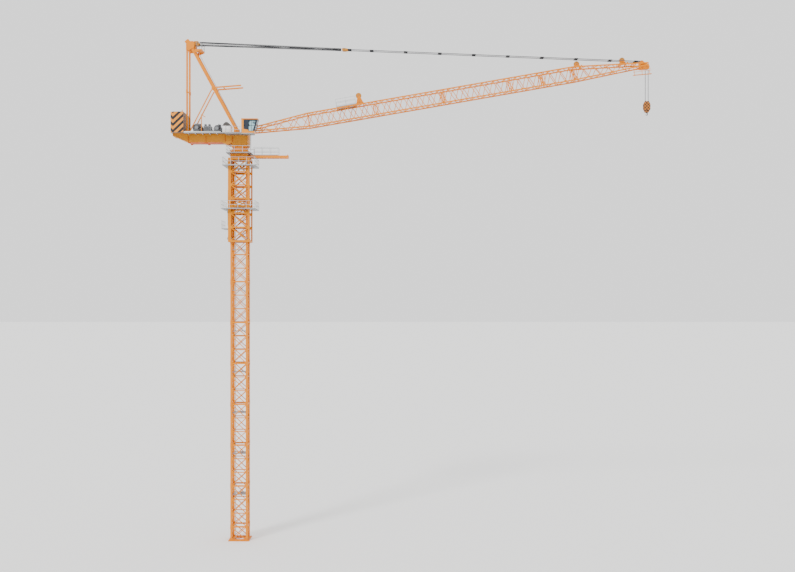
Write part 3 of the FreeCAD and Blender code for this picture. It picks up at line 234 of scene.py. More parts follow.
def merged(parts):
    """Parts joined into the first one, which is left active."""
    start_mesh()
    for part in parts:
        part.select_set(True)
    bpy.context.view_layer.objects.active = parts[0]
    if len(parts) > 1:
        bpy.ops.object.join()
    return bpy.context.object


def joined(parts, name, body, material, smooth=True):
    """Parts joined into one piece with smooth round faces and crisp corners."""
    merged(parts)
    piece = keep_piece(name, body, material)
    if smooth:
        bpy.ops.object.shade_smooth_by_angle(angle=math.radians(35))
    return piece


def across(side, inner, outer):
    """Two distances from the crane's middle plane, as low and high on one side of it."""
    return sorted((side * inner, side * outer))


# Fish plates and pins that lock each section joint: one plate and two pins on each leg.
lug_parts = []
for level in [BASE_TOP + number * SECTION for number in range(SECTIONS)]:
    for side_x in (-1, 1):
        for side_y in (-1, 1):
            x = side_x * (half_mast - LEG / 2)
            low_y, high_y = across(side_y, half_mast - 0.01, half_mast + 0.022)
            lug_parts.append(block((x - PLATE_WIDE, low_y, level - PLATE_TALL),
                                   (x + PLATE_WIDE, high_y, level + PLATE_TALL), 0.008))
            for rise in (-PIN_RISE, PIN_RISE):
                lug_parts.append(bar((x, low_y - 0.01, level + rise),
                                     (x, high_y + 0.01, level + rise), 0.026))
joined(lug_parts, "tower_joint_plates", "mast", orange_enamel)

# ---- Landings, ladders, gratings and guard rails ---------------------------------------------
# Hot-dip galvanised steel: pale grey with a slight spangle. The decks are pressed grating, drawn
# as raised bars at a real 60 mm pitch, halved for the model, with painted shade in the gaps.

GRATING_PITCH = 0.03


def zinc(name, tone, dark, slots_across=False):
    """Galvanised steel with spangle; decks also carry the grid of a grating, with painted shade in
    its gaps.
    """
    material, tree, shader, place = new_material(name)
    spangle = add(tree, "ShaderNodeTexVoronoi", {"Vector": place}, Scale=38.0)
    ramp = add(tree, "ShaderNodeValToRGB", {"Fac": spangle.outputs["Distance"]})
    ramp.color_ramp.elements[0].color = linear(tone)
    ramp.color_ramp.elements[1].color = linear(dark)
    ramp.color_ramp.elements[1].position = 0.9
    colour = ramp.outputs["Color"]
    if slots_across:
        grid = add(tree, "ShaderNodeTexBrick", {"Vector": place}, Scale=1.0, Mortar_Size=0.006,
                   Brick_Width=GRATING_PITCH * 2, Row_Height=GRATING_PITCH, offset=0.0,
                   Color1=linear("#FFFFFF"), Color2=linear("#FFFFFF"), Mortar=linear("#101010"))
        # The gaps between the grating bars are darkened as painted shade.
        colour = add(tree, "ShaderNodeMix", {0: 0.45, 6: colour, 7: grid.outputs["Color"]},
                     data_type="RGBA", blend_type="MULTIPLY").outputs[2]
        height = add(tree, "ShaderNodeBump", {"Height": grid.outputs["Fac"]}, Strength=0.8,
                     Distance=0.004, invert=True)
        plug(tree, shader, {"Normal": height.outputs["Normal"]})
    plug(tree, shader, {"Base Color": colour, "Metallic": 0.55, "Roughness": 0.46})
    return material


zinc_bar = zinc("galvanised_bar", "#C9CCCC", "#A9ADAE")
zinc_deck = zinc("galvanised_grating", "#B4B8BA", "#8C9093", slots_across=True)
finish(zinc_bar, "mast_ladder", "cage_railings", "ring_railings", "platform_ladders",
       "jib_railing")
finish(zinc_deck, "mast_landings", "cage_platforms", "ring_platform", "beam_walkway",
       "machine_deck", "jib_platform", "head_platform")

# ---- Climbing cage and its hydraulic jack ----------------------------------------------------
# The cage is a welded frame that walks up the outside of the tower on rollers, pushed by a jack
# on its rear side. It has the tower's enamel, a little deeper where it has been sprayed twice.

cage_enamel = wear("orange_enamel_on_cage", "#D88600", "#CE7C00", 0.45, 1.7)
grey_enamel = wear("grey_machine_enamel", "#8A8C8E", "#747678", 0.45, 6.0, bump=0.25)
finish(cage_enamel, "cage_side_right", "cage_side_left", "cage_end_frames")
finish(grey_enamel, "climbing_jack")
cage_low, cage_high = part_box("cage_side_right")
BEARING_WIDE = 0.05
BEARING_TALL = 0.09
bearing_face = abs(cage_low[1]) - 0.02
roller_parts = []
for level in (cage_low[2] + 0.25, cage_low[2] + 2.6, cage_high[2] - 0.35):
    for side in (-1, 1):
        low_y, high_y = across(side, bearing_face - 0.05, bearing_face)
        for x in (cage_low[0] + 0.19, half_mast - LEG / 2):
            roller_parts.append(bar((x, side * (half_mast + 0.02), level),
                                    (x, side * (half_mast + 0.085), level), 0.07, 18, 0.006))
            roller_parts.append(block((x - BEARING_WIDE, low_y, level - BEARING_TALL),
                                      (x + BEARING_WIDE, high_y, level + BEARING_TALL), 0.006))
joined(roller_parts, "cage_guide_rollers", "mast", grey_enamel)

BOX_MIDDLE = 0.42
BOX_HALF = 0.11
power_boxes = [block((cage_low[0] - 0.06, side * BOX_MIDDLE - BOX_HALF, 24.02),
                     (cage_low[0], side * BOX_MIDDLE + BOX_HALF, 24.9), 0.01) for side in (-1, 1)]
joined(power_boxes, "climbing_power_boxes", "mast", cage_enamel)

# ---- Ring support, climbing beam and slewing ring --------------------------------------------
# The ring support is a stiff ribbed box of plate on the tower head. The slewing ring above it is
# a toothed ball race, held by a circle of high-strength bolts left oiled.

finish(orange_enamel, "ring_support", "climbing_beam", "slewing_ring")
raw_ring = wear("oiled_steel_bolts", "#8A8176", "#6B6259", 0.35, 9.0, metallic=0.7)
ring_low, ring_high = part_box("slewing_ring")
support_low, support_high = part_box("ring_support")
BOLTS = 48
BOLT_CIRCLE = 0.552
bolt_parts = []
for number in range(BOLTS):
    turn = 2 * math.pi * number / BOLTS
    x, y = BOLT_CIRCLE * math.cos(turn), BOLT_CIRCLE * math.sin(turn)
    bolt_parts.append(bar((x, y, ring_low[2] + 0.088), (x, y, ring_low[2] + 0.112), 0.014, 6))
joined(bolt_parts, "slewing_ring_bolts", "slewing_platform", raw_ring,
       smooth=False)
pedestal = bar((0, 0, ring_low[2] + 0.1), (0, 0, ring_high[2] - 0.03), 0.536, 48, 0.004)
joined([pedestal], "slewing_pedestal_skin", "slewing_platform", orange_enamel)

RIB_HALF = 0.012
RIB_INWARD = 0.028
rib_face = support_high[0] - 0.04
rib_foot, rib_top = support_low[2] + 0.06, support_high[2] - 0.05
rib_parts = []
for side in (-1, 1):
    near, far = across(side, rib_face - RIB_HALF - RIB_INWARD, rib_face + RIB_HALF)
    for offset in (-0.42, -0.14, 0.14, 0.42):
        left, right = offset - RIB_HALF, offset + RIB_HALF
        rib_parts.append(block((near, left, rib_foot), (far, right, rib_top), 0.003))
        rib_parts.append(block((left, near, rib_foot), (right, far, rib_top), 0.003))
joined(rib_parts, "ring_support_ribs", "mast", orange_enamel)

# ---- Platform girder -------------------------------------------------------------------------
# A long plate girder: thin webs between thick flanges, with upright stiffeners welded to the webs
# and lifting eyes under the lower flange. The whole girder has a duller orange, which is painted
# shade, and the stiffeners, eyes and a thin plate under the lower flange have a deeper orange,
# which is also painted shade.

# Painted shade: the girder's duller orange and the deeper orange of its stiffeners, eyes and
# plate.
girder_shade_enamel = wear("orange_enamel_with_painted_shade_on_girder", "#CC8418", "#C07A12", 0.5, 0.9)
edge_shade_enamel = wear("deep_orange_painted_shade_on_edges", "#C85200", "#B84A00", 0.5, 2.0)
finish(girder_shade_enamel, "platform_girder")
finish(orange_enamel, "jib_foot_ears")
girder_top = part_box("platform_girder")[1][2]
LOWER_FLANGE = 28.285
WEB = 0.545
edge_parts = []
for x in (-3.6, -2.35, -0.98, -0.46):
    for side in (-1, 1):
        low_y, high_y = across(side, WEB, WEB + 0.05)
        edge_parts.append(block((x - 0.012, low_y, LOWER_FLANGE + 0.05),
                                (x + 0.012, high_y, girder_top - 0.2), 0.002))
for x in (-3.55, -2.3):
    for side in (-1, 1):
        low_y, high_y = across(side, 0.5, 0.53)
        edge_parts.append(block((x - 0.09, low_y, LOWER_FLANGE - 0.06),
                                (x + 0.09, high_y, LOWER_FLANGE), 0.012))
edge_parts.append(block((-3.6, -0.6, LOWER_FLANGE - 0.006), (-1.2, 0.6, LOWER_FLANGE), 0.001))
joined(edge_parts, "girder_edges", "slewing_platform", edge_shade_enamel)

# ---- Counterweights --------------------------------------------------------------------------
# Five cast slabs hung one on another at the rear. The ends are left as grey cast concrete, and
# the two sides carry broad slanted warning bands of black and orange road paint.

weight_low, weight_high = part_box("counterweights")
CHAMFER = 0.21
BAND_PITCH = 0.46
BAND_SLOPE = 0.95
BAND_START = 0.72
DARK_SHARE = 0.5


def banded_slab():
    """Grey concrete with slanted painted bands on the faces that look sideways."""
    material, tree, shader, place = new_material("banded_concrete")
    split = add(tree, "ShaderNodeSeparateXYZ", {"Vector": place})
    normal = add(tree, "ShaderNodeNewGeometry").outputs["Normal"]
    facing = add(tree, "ShaderNodeSeparateXYZ", {"Vector": normal})
    sideways = add(tree, "ShaderNodeMath", {0: facing.outputs["Y"]}, operation="ABSOLUTE")
    is_side = add(tree, "ShaderNodeMath", {0: sideways.outputs[0], 1: 0.6},
                  operation="GREATER_THAN")
    away = add(tree, "ShaderNodeMath", {0: split.outputs["X"], 1: weight_low[0] + CHAMFER},
               operation="SUBTRACT")
    spread = add(tree, "ShaderNodeMath", {0: away.outputs[0]}, operation="ABSOLUTE")
    slope = add(tree, "ShaderNodeMath", {0: spread.outputs[0], 1: BAND_SLOPE},
                operation="MULTIPLY")
    level = add(tree, "ShaderNodeMath", {0: split.outputs["Z"], 1: slope.outputs[0]},
                operation="SUBTRACT")
    pitch = add(tree, "ShaderNodeMath", {0: level.outputs[0], 1: 1 / BAND_PITCH, 2: BAND_START},
                operation="MULTIPLY_ADD")
    band = add(tree, "ShaderNodeMath", {0: pitch.outputs[0]}, operation="FRACT")
    dark = add(tree, "ShaderNodeMath", {0: band.outputs[0], 1: DARK_SHARE},
               operation="GREATER_THAN")
    paint = add(tree, "ShaderNodeMix", {0: dark.outputs[0], 6: linear("#E08A04"),
                                        7: linear("#05080F")}, data_type="RGBA")
    grain = add(tree, "ShaderNodeTexNoise", {"Vector": place}, Scale=14.0, Detail=8.0,
                Roughness=0.7)
    cement = add(tree, "ShaderNodeValToRGB", {"Fac": grain.outputs["Fac"]})
    cement.color_ramp.elements[0].color = linear("#6A4A38")
    cement.color_ramp.elements[1].color = linear("#8F8378")
    whole = add(tree, "ShaderNodeMix", {0: is_side.outputs[0], 6: cement.outputs["Color"],
                                        7: paint.outputs[2]}, data_type="RGBA")
    height = add(tree, "ShaderNodeBump", {"Height": grain.outputs["Fac"]}, Strength=0.35,
                 Distance=0.004)
    plug(tree, shader, {"Base Color": whole.outputs[2], "Roughness": 0.6,
                        "Normal": height.outputs["Normal"]})
    return material


finish(banded_slab(), "counterweights")
weight_top = weight_high[2]
post_x = weight_high[0] - 0.09
hanger_parts = []
for y in (-0.8, 0.8):
    for x in (weight_low[0] + 0.35, weight_high[0] - 0.16):
        hanger_parts.append(bar((x, y, weight_top - 0.02), (x, y, weight_top + 0.05),
                                0.022, 12, 0.004))
hanger_parts.append(bar((post_x, -1.0, weight_top - 0.02), (post_x, -1.0, weight_top + 0.14),
                        0.03, 12, 0.004))
joined(hanger_parts, "counterweight_hangers", "slewing_platform", orange_enamel)

# ---- A-frame, its head and the service davit -------------------------------------------------
# Rectangular box-section struts and ties, pinned at the foot and at the head. They carry the same
# enamel as the tower. The head carries a small grating with a hand rail for work on the sheaves.

finish(orange_enamel, "a_frame_struts", "rear_ties", "a_frame_braces", "backstops",
       "a_frame_head", "service_davit", "head_platform")
STRUT_FACE = 0.533
TIE_X = -3.7
KNEE = (-1.8, 32.145)
FOOT = (-0.2, 29.11)
HEAD = (TIE_X, 34.97)
pin_places = ((KNEE, 0.07), (FOOT, 0.06), (HEAD, 0.05))
frame_parts = []
for side in (-1, 1):
    low_y, high_y = across(side, STRUT_FACE - 0.02, STRUT_FACE + 0.022)
    for (x, z), radius in pin_places:
        frame_parts.append(bar((x, low_y, z), (x, high_y, z), radius, 20, 0.006))
    low_y, high_y = across(side, STRUT_FACE - 0.02, STRUT_FACE + 0.006)
    frame_parts.append(block((TIE_X - 0.075, low_y, 31.8), (TIE_X + 0.075, high_y, 32.06), 0.01))
joined(frame_parts, "a_frame_pins", "slewing_platform", orange_enamel)

head_low, head_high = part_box("head_platform")
head_top = head_high[2]
RAIL_SIDE = 0.56
RAIL_RISES = (0.22, 0.45)
rail_rear, rail_front = head_low[0] + 0.1, head_high[0] - 0.02
rail_parts = [block((head_low[0] + 0.04, -0.58, head_top), (head_high[0], 0.58, head_top + 0.012),
                    0.002)]
for side in (-1, 1):
    y = side * RAIL_SIDE
    for x in (rail_rear, rail_front):
        rail_parts.append(bar((x, y, head_top), (x, y, head_top + RAIL_RISES[1]), 0.014))
    for rise in RAIL_RISES:
        rail_parts.append(bar((rail_rear, y, head_top + rise), (rail_front, y, head_top + rise),
                              0.011))
for rise in RAIL_RISES:
    rail_parts.append(bar((rail_front, -RAIL_SIDE, head_top + rise),
                          (rail_front, RAIL_SIDE, head_top + rise), 0.011))
joined(rail_parts, "head_platform_grating", "slewing_platform", zinc_deck)

# ---- Winches, hydraulic pack and cabinet -----------------------------------------------------
# Two electric rope winches in grey machine enamel: finned motors, gear cases, disc brakes and
# steel drums with close turns of greased rope. The cabinet is white, with a dark hood.

finish(grey_enamel, "hoist_winch_frame", "luffing_winch_frame", "hydraulic_pack", "hoist_drum",
       "luffing_drum")
dark_enamel = wear("dark_grey_machine_enamel", "#66676A", "#505154", 0.5, 7.0, bump=0.3)
DECK = 28.93
ROPE_PITCH = 0.03
FINS = 7
FIN_PITCH = 0.032


def rope_steel(name, light, dark, turns=55.0):
    """Greased steel wire: bright strands with dark lays between them, drawn across the rope."""
    material, tree, shader, place = new_material(name)
    lay = add(tree, "ShaderNodeTexWave", {"Vector": place}, Scale=turns, Distortion=1.2,
              bands_direction="X")
    ramp = add(tree, "ShaderNodeValToRGB", {"Fac": lay.outputs["Fac"]})
    ramp.color_ramp.elements[0].color = linear(dark)
    ramp.color_ramp.elements[1].color = linear(light)
    height = add(tree, "ShaderNodeBump", {"Height": lay.outputs["Fac"]}, Strength=0.6,
                 Distance=0.003)
    plug(tree, shader, {"Base Color": ramp.outputs["Color"], "Normal": height.outputs["Normal"],
                        "Metallic": 0.6, "Roughness": 0.42})
    return material


greased_rope = rope_steel("greased_steel_rope", "#8F9091", "#3F4041")


def winch_details(name, drum_body, axis_x, axis_z, radius, half):
    """Rope turns on a drum, and its finned motor, gear case, brake and boxes on the frame."""
    turns = []
    for number in range(int((2 * half - 0.08) / ROPE_PITCH)):
        start_mesh()
        y = -half + 0.045 + number * ROPE_PITCH
        bpy.ops.mesh.primitive_torus_add(major_segments=36, minor_segments=8,
                                         major_radius=radius - 0.045, minor_radius=0.0145,
                                         location=(axis_x, y, axis_z),
                                         rotation=(math.radians(90), 0, 0))
        turns.append(bpy.context.object)
    joined(turns, name + "_rope_turns", drum_body, greased_rope)
    parts = []
    for number in range(FINS):
        y = -half - 0.1 - number * FIN_PITCH
        parts.append(bar((axis_x, y - 0.008, axis_z), (axis_x, y + 0.008, axis_z),
                         0.15, 24, 0.003))
    parts.append(bar((axis_x, half + 0.06, axis_z), (axis_x, half + 0.2, axis_z),
                     radius * 0.62, 28, 0.012))
    parts.append(bar((axis_x, half + 0.2, axis_z), (axis_x, half + 0.26, axis_z),
                     radius * 0.35, 24, 0.008))
    parts.append(block((axis_x - 0.1, -half - 0.3, axis_z + 0.12),
                       (axis_x + 0.06, -half - 0.14, axis_z + 0.22), 0.012))
    parts.append(block((axis_x - 0.2, -half - 0.32, DECK),
                       (axis_x + 0.2, -half - 0.08, axis_z - 0.13), 0.015))
    parts.append(block((axis_x + 0.06, -half - 0.055, axis_z + 0.05),
                       (axis_x + radius, -half - 0.01, axis_z + 0.3), 0.02))
    joined(parts, name + "_drive", "slewing_platform", dark_enamel)


winch_details("hoist_winch", "hoist_drum", axis_x=-3.0, axis_z=29.325, radius=0.33, half=0.36)
winch_details("luffing_winch", "luffing_drum", axis_x=-1.57, axis_z=29.275, radius=0.28, half=0.33)

# Filter cans, cooling slats and pipes on the hydraulic pack, and a low pipe box and an upright
# can at the luffing motor. What the real ones are is a guess.
pack_low, pack_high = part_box("hydraulic_pack")
PIPE = 0.016
pack_parts = []
for x in (pack_low[0] + 0.12, pack_high[0] - 0.12):
    for y, rise, radius, sides, ease in ((-0.2, 0.14, 0.085, 20, 0.012),
                                         (0.18, 0.09, 0.06, 18, 0.01)):
        pack_parts.append(bar((x, y, pack_high[2]), (x, y, pack_high[2] + rise),
                              radius, sides, ease))
for number in range(5):
    z = pack_low[2] + 0.1 + number * 0.09
    pack_parts.append(block((pack_low[0] + 0.05, -0.35, z),
                            (pack_high[0] - 0.05, -0.325, z + 0.04), 0.004))
for rise in (0.0, 0.07):
    pack_parts.append(bar((pack_high[0] - 0.05, -0.3, pack_low[2] + 0.32 + rise),
                          (-1.87, -0.3, pack_low[2] + 0.18 + rise), PIPE))
    pack_parts.append(bar((pack_low[0] + 0.05, -0.3, pack_low[2] + 0.3 + rise),
                          (-2.64, -0.3, pack_low[2] + 0.22 + rise), PIPE))
pack_parts.append(block((-1.9, -0.52, DECK), (-1.27, -0.4, 29.13), 0.02))
pack_parts.append(bar((-1.45, -0.45, 29.3), (-1.45, -0.45, 29.6), 0.045, 16, 0.01))
joined(pack_parts, "hydraulic_fittings", "slewing_platform", dark_enamel)


def two_tone(name, low_hex, high_hex, level, rough):
    """Enamel that changes colour at a height, with a soft grain in both."""
    material, tree, shader, place = new_material(name)
    split = add(tree, "ShaderNodeSeparateXYZ", {"Vector": place})
    above = add(tree, "ShaderNodeMath", {0: split.outputs["Z"], 1: level},
                operation="GREATER_THAN")
    grain = add(tree, "ShaderNodeTexNoise", {"Vector": place}, Scale=9.0, Detail=5.0)
    mixed = add(tree, "ShaderNodeMix", {0: above.outputs[0], 6: linear(low_hex),
                                        7: linear(high_hex)}, data_type="RGBA")
    worn = add(tree, "ShaderNodeMix", {0: 0.18, 6: mixed.outputs[2], 7: grain.outputs["Fac"]},
               data_type="RGBA", blend_type="MULTIPLY")
    plug(tree, shader, {"Base Color": worn.outputs[2], "Roughness": rough})
    return material


HOOD_FOOT = 29.483
cabinet_enamel = two_tone("white_cabinet_enamel", "#FBFBFA", "#4A4744", HOOD_FOOT, 0.4)
finish(cabinet_enamel, "electrical_cabinet")
door_parts = []
for x in (-1.16, -0.905):
    door_parts.append(block((x, -0.42, 28.97), (x + 0.235, -0.405, 29.44), 0.004))
    door_parts.append(block((x + 0.2, -0.432, 29.18), (x + 0.215, -0.418, 29.26), 0.003))
joined(door_parts, "cabinet_doors", "slewing_platform", cabinet_enamel)

# ---- Operator's cab --------------------------------------------------------------------------
# A sheet-metal cab with a dark blue panel inside a broad orange frame, tinted glass in black
# rubber seals with a painted sky reflection in its colour, an orange roof and a grated walkway
# along it. Its sides carry no lettering.

CAB_SIDE = -1.44
CAB_INNER = -0.736
FRAME_FRONT = 0.45
FRAME_SLOPE = 0.22
FRAME_LEVEL = 29.215


def cab_panel():
    """Dark blue sheet with an orange L-shaped frame along its rear and lower edges."""
    material, tree, shader, place = new_material("blue_and_orange_cab_enamel")
    split = add(tree, "ShaderNodeSeparateXYZ", {"Vector": place})
    rear = add(tree, "ShaderNodeMath", {0: split.outputs["X"], 1: FRAME_FRONT},
               operation="LESS_THAN")
    slanted = add(tree, "ShaderNodeMath", {0: split.outputs["X"], 1: FRAME_SLOPE,
                                           2: split.outputs["Z"]}, operation="MULTIPLY_ADD")
    low = add(tree, "ShaderNodeMath", {0: slanted.outputs[0], 1: FRAME_LEVEL},
              operation="LESS_THAN")
    framed = add(tree, "ShaderNodeMath", {0: rear.outputs[0], 1: low.outputs[0]},
                 operation="MAXIMUM")
    grain = add(tree, "ShaderNodeTexNoise", {"Vector": place}, Scale=5.0, Detail=5.0)
    navy = add(tree, "ShaderNodeValToRGB", {"Fac": grain.outputs["Fac"]})
    navy.color_ramp.elements[0].color = linear("#0B1420")
    navy.color_ramp.elements[1].color = linear("#1B2A3C")
    mixed = add(tree, "ShaderNodeMix", {0: framed.outputs[0], 6: navy.outputs["Color"],
                                        7: linear("#E08A04")}, data_type="RGBA")
    plug(tree, shader, {"Base Color": mixed.outputs[2], "Roughness": 0.3})
    return material


def glass_with_painted_reflection(name, sky, ground):
    """Glossy glass with a painted reflection in its colour: soft bands of sky over a darker room.
    """
    material, tree, shader, place = new_material(name)
    cloud = add(tree, "ShaderNodeTexNoise", {"Vector": place}, Scale=2.6, Detail=1.5)
    ramp = add(tree, "ShaderNodeValToRGB", {"Fac": cloud.outputs["Fac"]})
    ramp.color_ramp.elements[0].position = 0.42
    ramp.color_ramp.elements[1].position = 0.58
    ramp.color_ramp.elements[0].color = linear(ground)
    ramp.color_ramp.elements[1].color = linear(sky)
    plug(tree, shader, {"Base Color": ramp.outputs["Color"], "Roughness": 0.06,
                        "Metallic": 0.35})
    return material


rubber = wear("black_rubber_seal", "#15181B", "#0E1012", 0.6, 20.0)
finish(cab_panel(), "cab_shell")
finish(orange_enamel, "cab_roof")
# The glass colour carries a painted sky reflection on top of its real gloss.
finish(glass_with_painted_reflection("cab_glass_with_painted_reflection", "#9DC3CC", "#2C4450"), "cab_glass")
finish(zinc_deck, "cab_platform")

# Seals run round each side window with two glazing bars across it, beside a grip and a latch.
SILL = 28.96
LINTEL = 29.69
corners = [(0.8, SILL), (1.112, SILL), (1.322, LINTEL), (0.8, LINTEL)]
seal_parts = []
for y in (CAB_SIDE + 0.006, CAB_INNER):
    for start, end in zip(corners, corners[1:] + corners[:1]):
        seal_parts.append(bar((start[0], y, start[1]), (end[0], y, end[1]), 0.014, 8))
    seal_parts.append(bar((0.8, y, 29.34), (1.22, y, 29.34), 0.013, 8))
    seal_parts.append(bar((1.0, y, SILL), (1.0, y, LINTEL), 0.01, 8))
seal_parts.append(block((0.29, CAB_SIDE - 0.004, 28.86), (0.32, CAB_SIDE + 0.02, 29.08), 0.004))
seal_parts.append(block((0.5, CAB_SIDE - 0.01, 29.3), (0.53, CAB_SIDE, 29.46), 0.004))
joined(seal_parts, "cab_window_seals", "slewing_platform", rubber)

CAB_FLOOR = 28.87
seat_parts = [block((0.6, -1.24, CAB_FLOOR), (0.88, -0.94, 29.14), 0.04),
              block((0.56, -1.24, 29.1), (0.66, -0.94, 29.58), 0.04),
              block((0.7, -1.33, CAB_FLOOR), (1.0, -1.27, 29.25), 0.02),
              block((0.7, -0.91, CAB_FLOOR), (1.0, -0.85, 29.25), 0.02)]
joined(seat_parts, "cab_seat_and_consoles", "slewing_platform", dark_enamel)

WALK_Y = -1.43
WALK_DECK = 28.83
WALK_REAR, WALK_FRONT = -0.82, 0.2
walk_parts = []
for x in (WALK_REAR, -0.3, WALK_FRONT):
    walk_parts.append(bar((x, WALK_Y, WALK_DECK), (x, WALK_Y, 29.3), 0.014))
for rise in (0.24, 0.47):
    walk_parts.append(bar((WALK_REAR, WALK_Y, WALK_DECK + rise),
                          (WALK_FRONT, WALK_Y, WALK_DECK + rise), 0.011))
joined(walk_parts, "cab_walkway_rail", "slewing_platform", zinc_bar)

# Toe boards along the machine deck, with five bearers under the deck on each side.
toe_parts = []
for side in (-1, 1):
    low_y, high_y = across(side, 1.128, 1.148)
    toe_parts.append(block((-3.8, low_y, 28.86), (-1.2, high_y, 28.985), 0.003))
    low_y, high_y = across(side, 0.6, 1.12)
    for x in (-3.5, -3.0, -2.5, -2.0, -1.5):
        toe_parts.append(block((x - 0.02, low_y, 28.8), (x + 0.02, high_y, 28.885), 0.004))
joined(toe_parts, "machine_deck_toe_boards", "slewing_platform", zinc_bar)

# ---- Jib -------------------------------------------------------------------------------------
# Welded lattice sections pinned end to end; every joint has forked lugs and driven pins on the
# four chords. The head holds the tip sheave, and a small service basket hangs low on its right.

finish(orange_enamel, "jib_side_right", "jib_side_left", "jib_top_lacing", "jib_bottom_lacing",
       "jib_head", "sheave_brackets", "tip_basket")
JIB_ANGLE = math.radians(9.9)
PIVOT = Vector((0.625, 0, 29.15))
CHORD_Y = 0.525
CHORD_V = 0.4625
LUG_HALF = 0.11


def at_jib(u, y, v):
    """Place on the raised jib from its own level frame."""
    return (PIVOT.x + u * math.cos(JIB_ANGLE) - v * math.sin(JIB_ANGLE), y,
            PIVOT.z + u * math.sin(JIB_ANGLE) + v * math.cos(JIB_ANGLE))


TAPER_END = 4.34
BODY_JOINTS = (9.205, 14.07, 18.935, 21.255, 23.575)
pin_parts = []
for u in (TAPER_END, *BODY_JOINTS):
    for v in (-CHORD_V, CHORD_V):
        for y in (-CHORD_Y, CHORD_Y):
            for fork in (-0.034, 0.034):
                pin_parts.append(bar(at_jib(u - LUG_HALF, y + fork, v),
                                     at_jib(u + LUG_HALF, y + fork, v), 0.022, 8))
            for shift in (-0.05, 0.05):
                pin_parts.append(bar(at_jib(u + shift, y - 0.058, v),
                                     at_jib(u + shift, y + 0.058, v), 0.016))
for u in BODY_JOINTS:
    for y in (-CHORD_Y, CHORD_Y):
        for shift in (-0.13, 0.13):
            pin_parts.append(bar(at_jib(u + shift, y, -0.43), at_jib(u + shift, y, 0.43), 0.024))
joined(pin_parts, "jib_section_pins", "jib", orange_enamel)

foot_parts = []
for side in (-1, 1):
    for offset in (-0.1, 0.1):
        y = side * CHORD_Y + offset
        foot_parts.append(bar((PIVOT.x, y - 0.012, PIVOT.z), (PIVOT.x, y + 0.012, PIVOT.z),
                              0.05, 18, 0.004))
joined(foot_parts, "jib_foot_pin_caps", "slewing_platform", raw_ring)

# ---- Sheaves and pulley blocks ---------------------------------------------------------------
# Cast sheaves in the crane's enamel with bossed hubs and greased pins. The hubs stand on the four
# guide sheaves: two over the jib platform and two on the head.

sheave_enamel = wear("orange_enamel_on_castings", "#D98A10", "#8A6A3A", 0.45, 3.5, amount=0.3)
finish(sheave_enamel, "guide_sheaves", "tip_sheave", "upper_pulley_block", "floating_block")
HUB_HALF = 0.072
hub_parts = []
for x, z in ((8.55, 31.25), (8.465, 31.695), (24.05, 33.95), (27.3, 34.215)):
    hub_parts.append(bar((x, -HUB_HALF, z), (x, HUB_HALF, z), 0.05, 18, 0.006))
joined(hub_parts, "guide_sheave_hubs", "jib", raw_ring)

# ---- Luffing ropes and pendants --------------------------------------------------------------
# Falls of greased wire rope run between the upper pulley block and the floating block, some of
# them crossing from top to bottom. Solid round pendant bars with black links go on to the tip.

dark_rope = rope_steel("dark_greased_steel_rope", "#55565A", "#141518", turns=40.0)
pendant_steel = rope_steel("dull_grey_pendant_bar", "#6E6F72", "#4E4F52", turns=12.0)
black_link = wear("black_forged_link", "#17181A", "#222326", 0.5, 12.0)
finish(pendant_steel, "pendants")
LINE_START = Vector((-3.3, 0, 35.41))
LINE_END = Vector((28.65, 0, 34.11))
line_run = (LINE_END - LINE_START).normalized()
line_rise = Vector((-line_run.z, 0, line_run.x))
ROPE_START = 0.42
ROPE_END = 10.54
ROPE_RADIUS = 0.012


def on_line(along, y, up):
    """Place from the upper pulley pin along the luffing line."""
    return LINE_START + line_run * along + Vector((0, y, 0)) + line_rise * up


def fall(start, end, radius, steps=48, sides=8):
    """One rope between two points, with rings along it."""
    built = bmesh.new()
    run = (end - start).normalized()
    broad = Vector((0, 1, 0))
    up = run.cross(broad).normalized()
    broad = up.cross(run)
    rings = []
    for step in range(steps + 1):
        centre = start.lerp(end, step / steps)
        ring = []
        for side in range(sides):
            turn = 2 * math.pi * side / sides
            reach = broad * (radius * math.cos(turn)) + up * (radius * math.sin(turn))
            ring.append(built.verts.new(centre + reach))
        rings.append(ring)
    for first, second in zip(rings, rings[1:]):
        for side in range(sides):
            following = (side + 1) % sides
            built.faces.new((first[side], first[following], second[following], second[side]))
    built.faces.new(list(reversed(rings[0])))
    built.faces.new(rings[-1])
    bmesh.ops.recalc_face_normals(built, faces=built.faces)
    mesh = bpy.data.meshes.new("fall")
    built.to_mesh(mesh)
    built.free()
    rope = bpy.data.objects.new("fall", mesh)
    bpy.context.collection.objects.link(rope)
    return rope


def joined_falls(ropes, name):
    """Ropes joined into one piece of dark rope, with smooth sides and flat ends."""
    piece = merged(ropes)
    piece.name = name
    piece.data.materials.clear()
    piece.data.materials.append(dark_rope)
    for polygon in piece.data.polygons:
        polygon.use_smooth = len(polygon.vertices) == 4
    return piece


# Each rope is given by its place across and by its heights at the two blocks: straight outer
# falls above and below, then falls that cross over, then three close to the middle.
rope_places = []
for y in (-0.14, -0.07, 0.07, 0.14):
    rope_places += [(y, 0.112, 0.06), (y, -0.112, -0.06)]
rope_places += [(-0.105, 0.1, -0.05), (-0.035, -0.1, 0.05), (0.035, 0.1, -0.05),
                (0.105, -0.1, 0.05)]
rope_places += [(-0.012, 0.05, 0.03), (0.012, 0.0, 0.0), (-0.012, -0.05, -0.03)]
falls = [fall(on_line(ROPE_START, y, start_up), on_line(ROPE_END, y, end_up), ROPE_RADIUS)
         for y, start_up, end_up in rope_places]
luffing = joined_falls(falls, "luffing_rope_falls")
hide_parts("luffing_ropes")
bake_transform(luffing)
finish(dark_rope, "luffing_ropes", "hoist_falls")

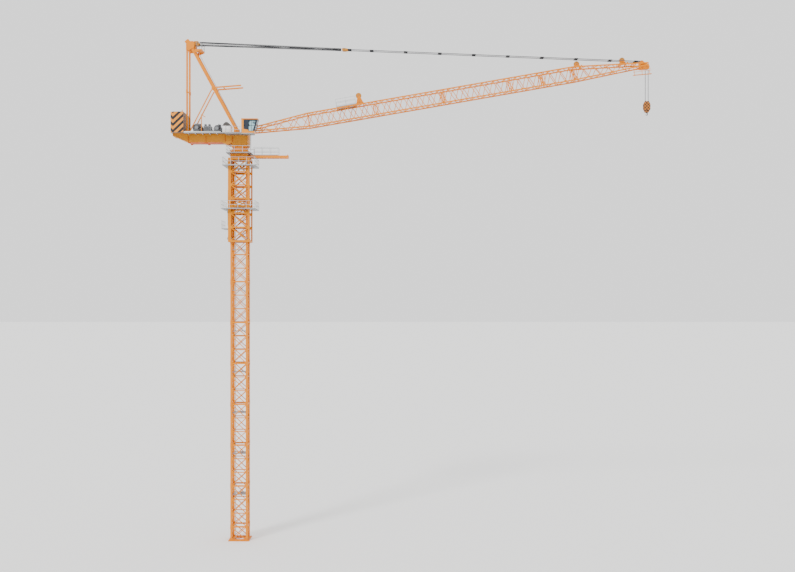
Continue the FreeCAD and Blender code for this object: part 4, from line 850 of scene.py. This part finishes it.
LINK_HALF = 0.13
LINK_PITCH = 2.435
link_places = [11.14] + [10.28 + number * LINK_PITCH for number in range(1, 9)] + [31.6]
link_parts = []
for side in (-1, 1):
    for middle in link_places:
        for offset in (-0.026, 0.026):
            y = side * 0.2 + offset
            link_parts.append(bar(on_line(middle - LINK_HALF, y, 0),
                                  on_line(middle + LINK_HALF, y, 0), 0.042, 8, 0.004))
joined(link_parts, "pendant_links", "pendant_lines", black_link)

# ---- Hoist falls, hook block and hook --------------------------------------------------------
# Two falls of dark greased rope, a twin-plate block with painted warning squares, and a forged
# black hook that swivels under it.


def warning_squares():
    """Orange enamel with dark painted squares on the block's cheeks."""
    material, tree, shader, place = new_material("squared_warning_paint")
    squares = add(tree, "ShaderNodeTexChecker", {"Vector": place}, Scale=9.0,
                  Color1=linear("#C8740A"), Color2=linear("#2A2018"))
    grain = add(tree, "ShaderNodeTexNoise", {"Vector": place}, Scale=30.0, Detail=4.0)
    worn = add(tree, "ShaderNodeMix", {0: 0.3, 6: squares.outputs["Color"],
                                       7: grain.outputs["Fac"]}, data_type="RGBA",
               blend_type="MULTIPLY")
    plug(tree, shader, {"Base Color": worn.outputs[2], "Roughness": 0.45})
    return material


hook_black = wear("black_forged_steel", "#141414", "#242322", 0.42, 16.0, metallic=0.3)
finish(warning_squares(), "hook_block")
finish(hook_black, "hook")
TIP = (29.075, 33.665)
FALL_TOP = 33.53
FALL_FOOT = 31.308
hoists = [fall(Vector((TIP[0] + shift, 0, FALL_TOP)), Vector((TIP[0] + shift, 0, FALL_FOOT)), 0.02)
          for shift in (-0.105, 0.105)]
hoist = joined_falls(hoists, "hoist_rope_falls")
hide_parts("hoist_falls")
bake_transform(hoist)
SHEAVE_Z = 30.98
block_parts = [bar((TIP[0], -0.1, z), (TIP[0], 0.1, z), 0.045, 18, 0.006) for z in (31.12, 30.62)]
for side in (-1, 1):
    low_y, high_y = across(side, 0.02, 0.052)
    block_parts.append(bar((TIP[0], low_y, SHEAVE_Z), (TIP[0], high_y, SHEAVE_Z), 0.2, 32, 0.008))
joined(block_parts, "hook_block_sheaves", "hook_block", hook_black)
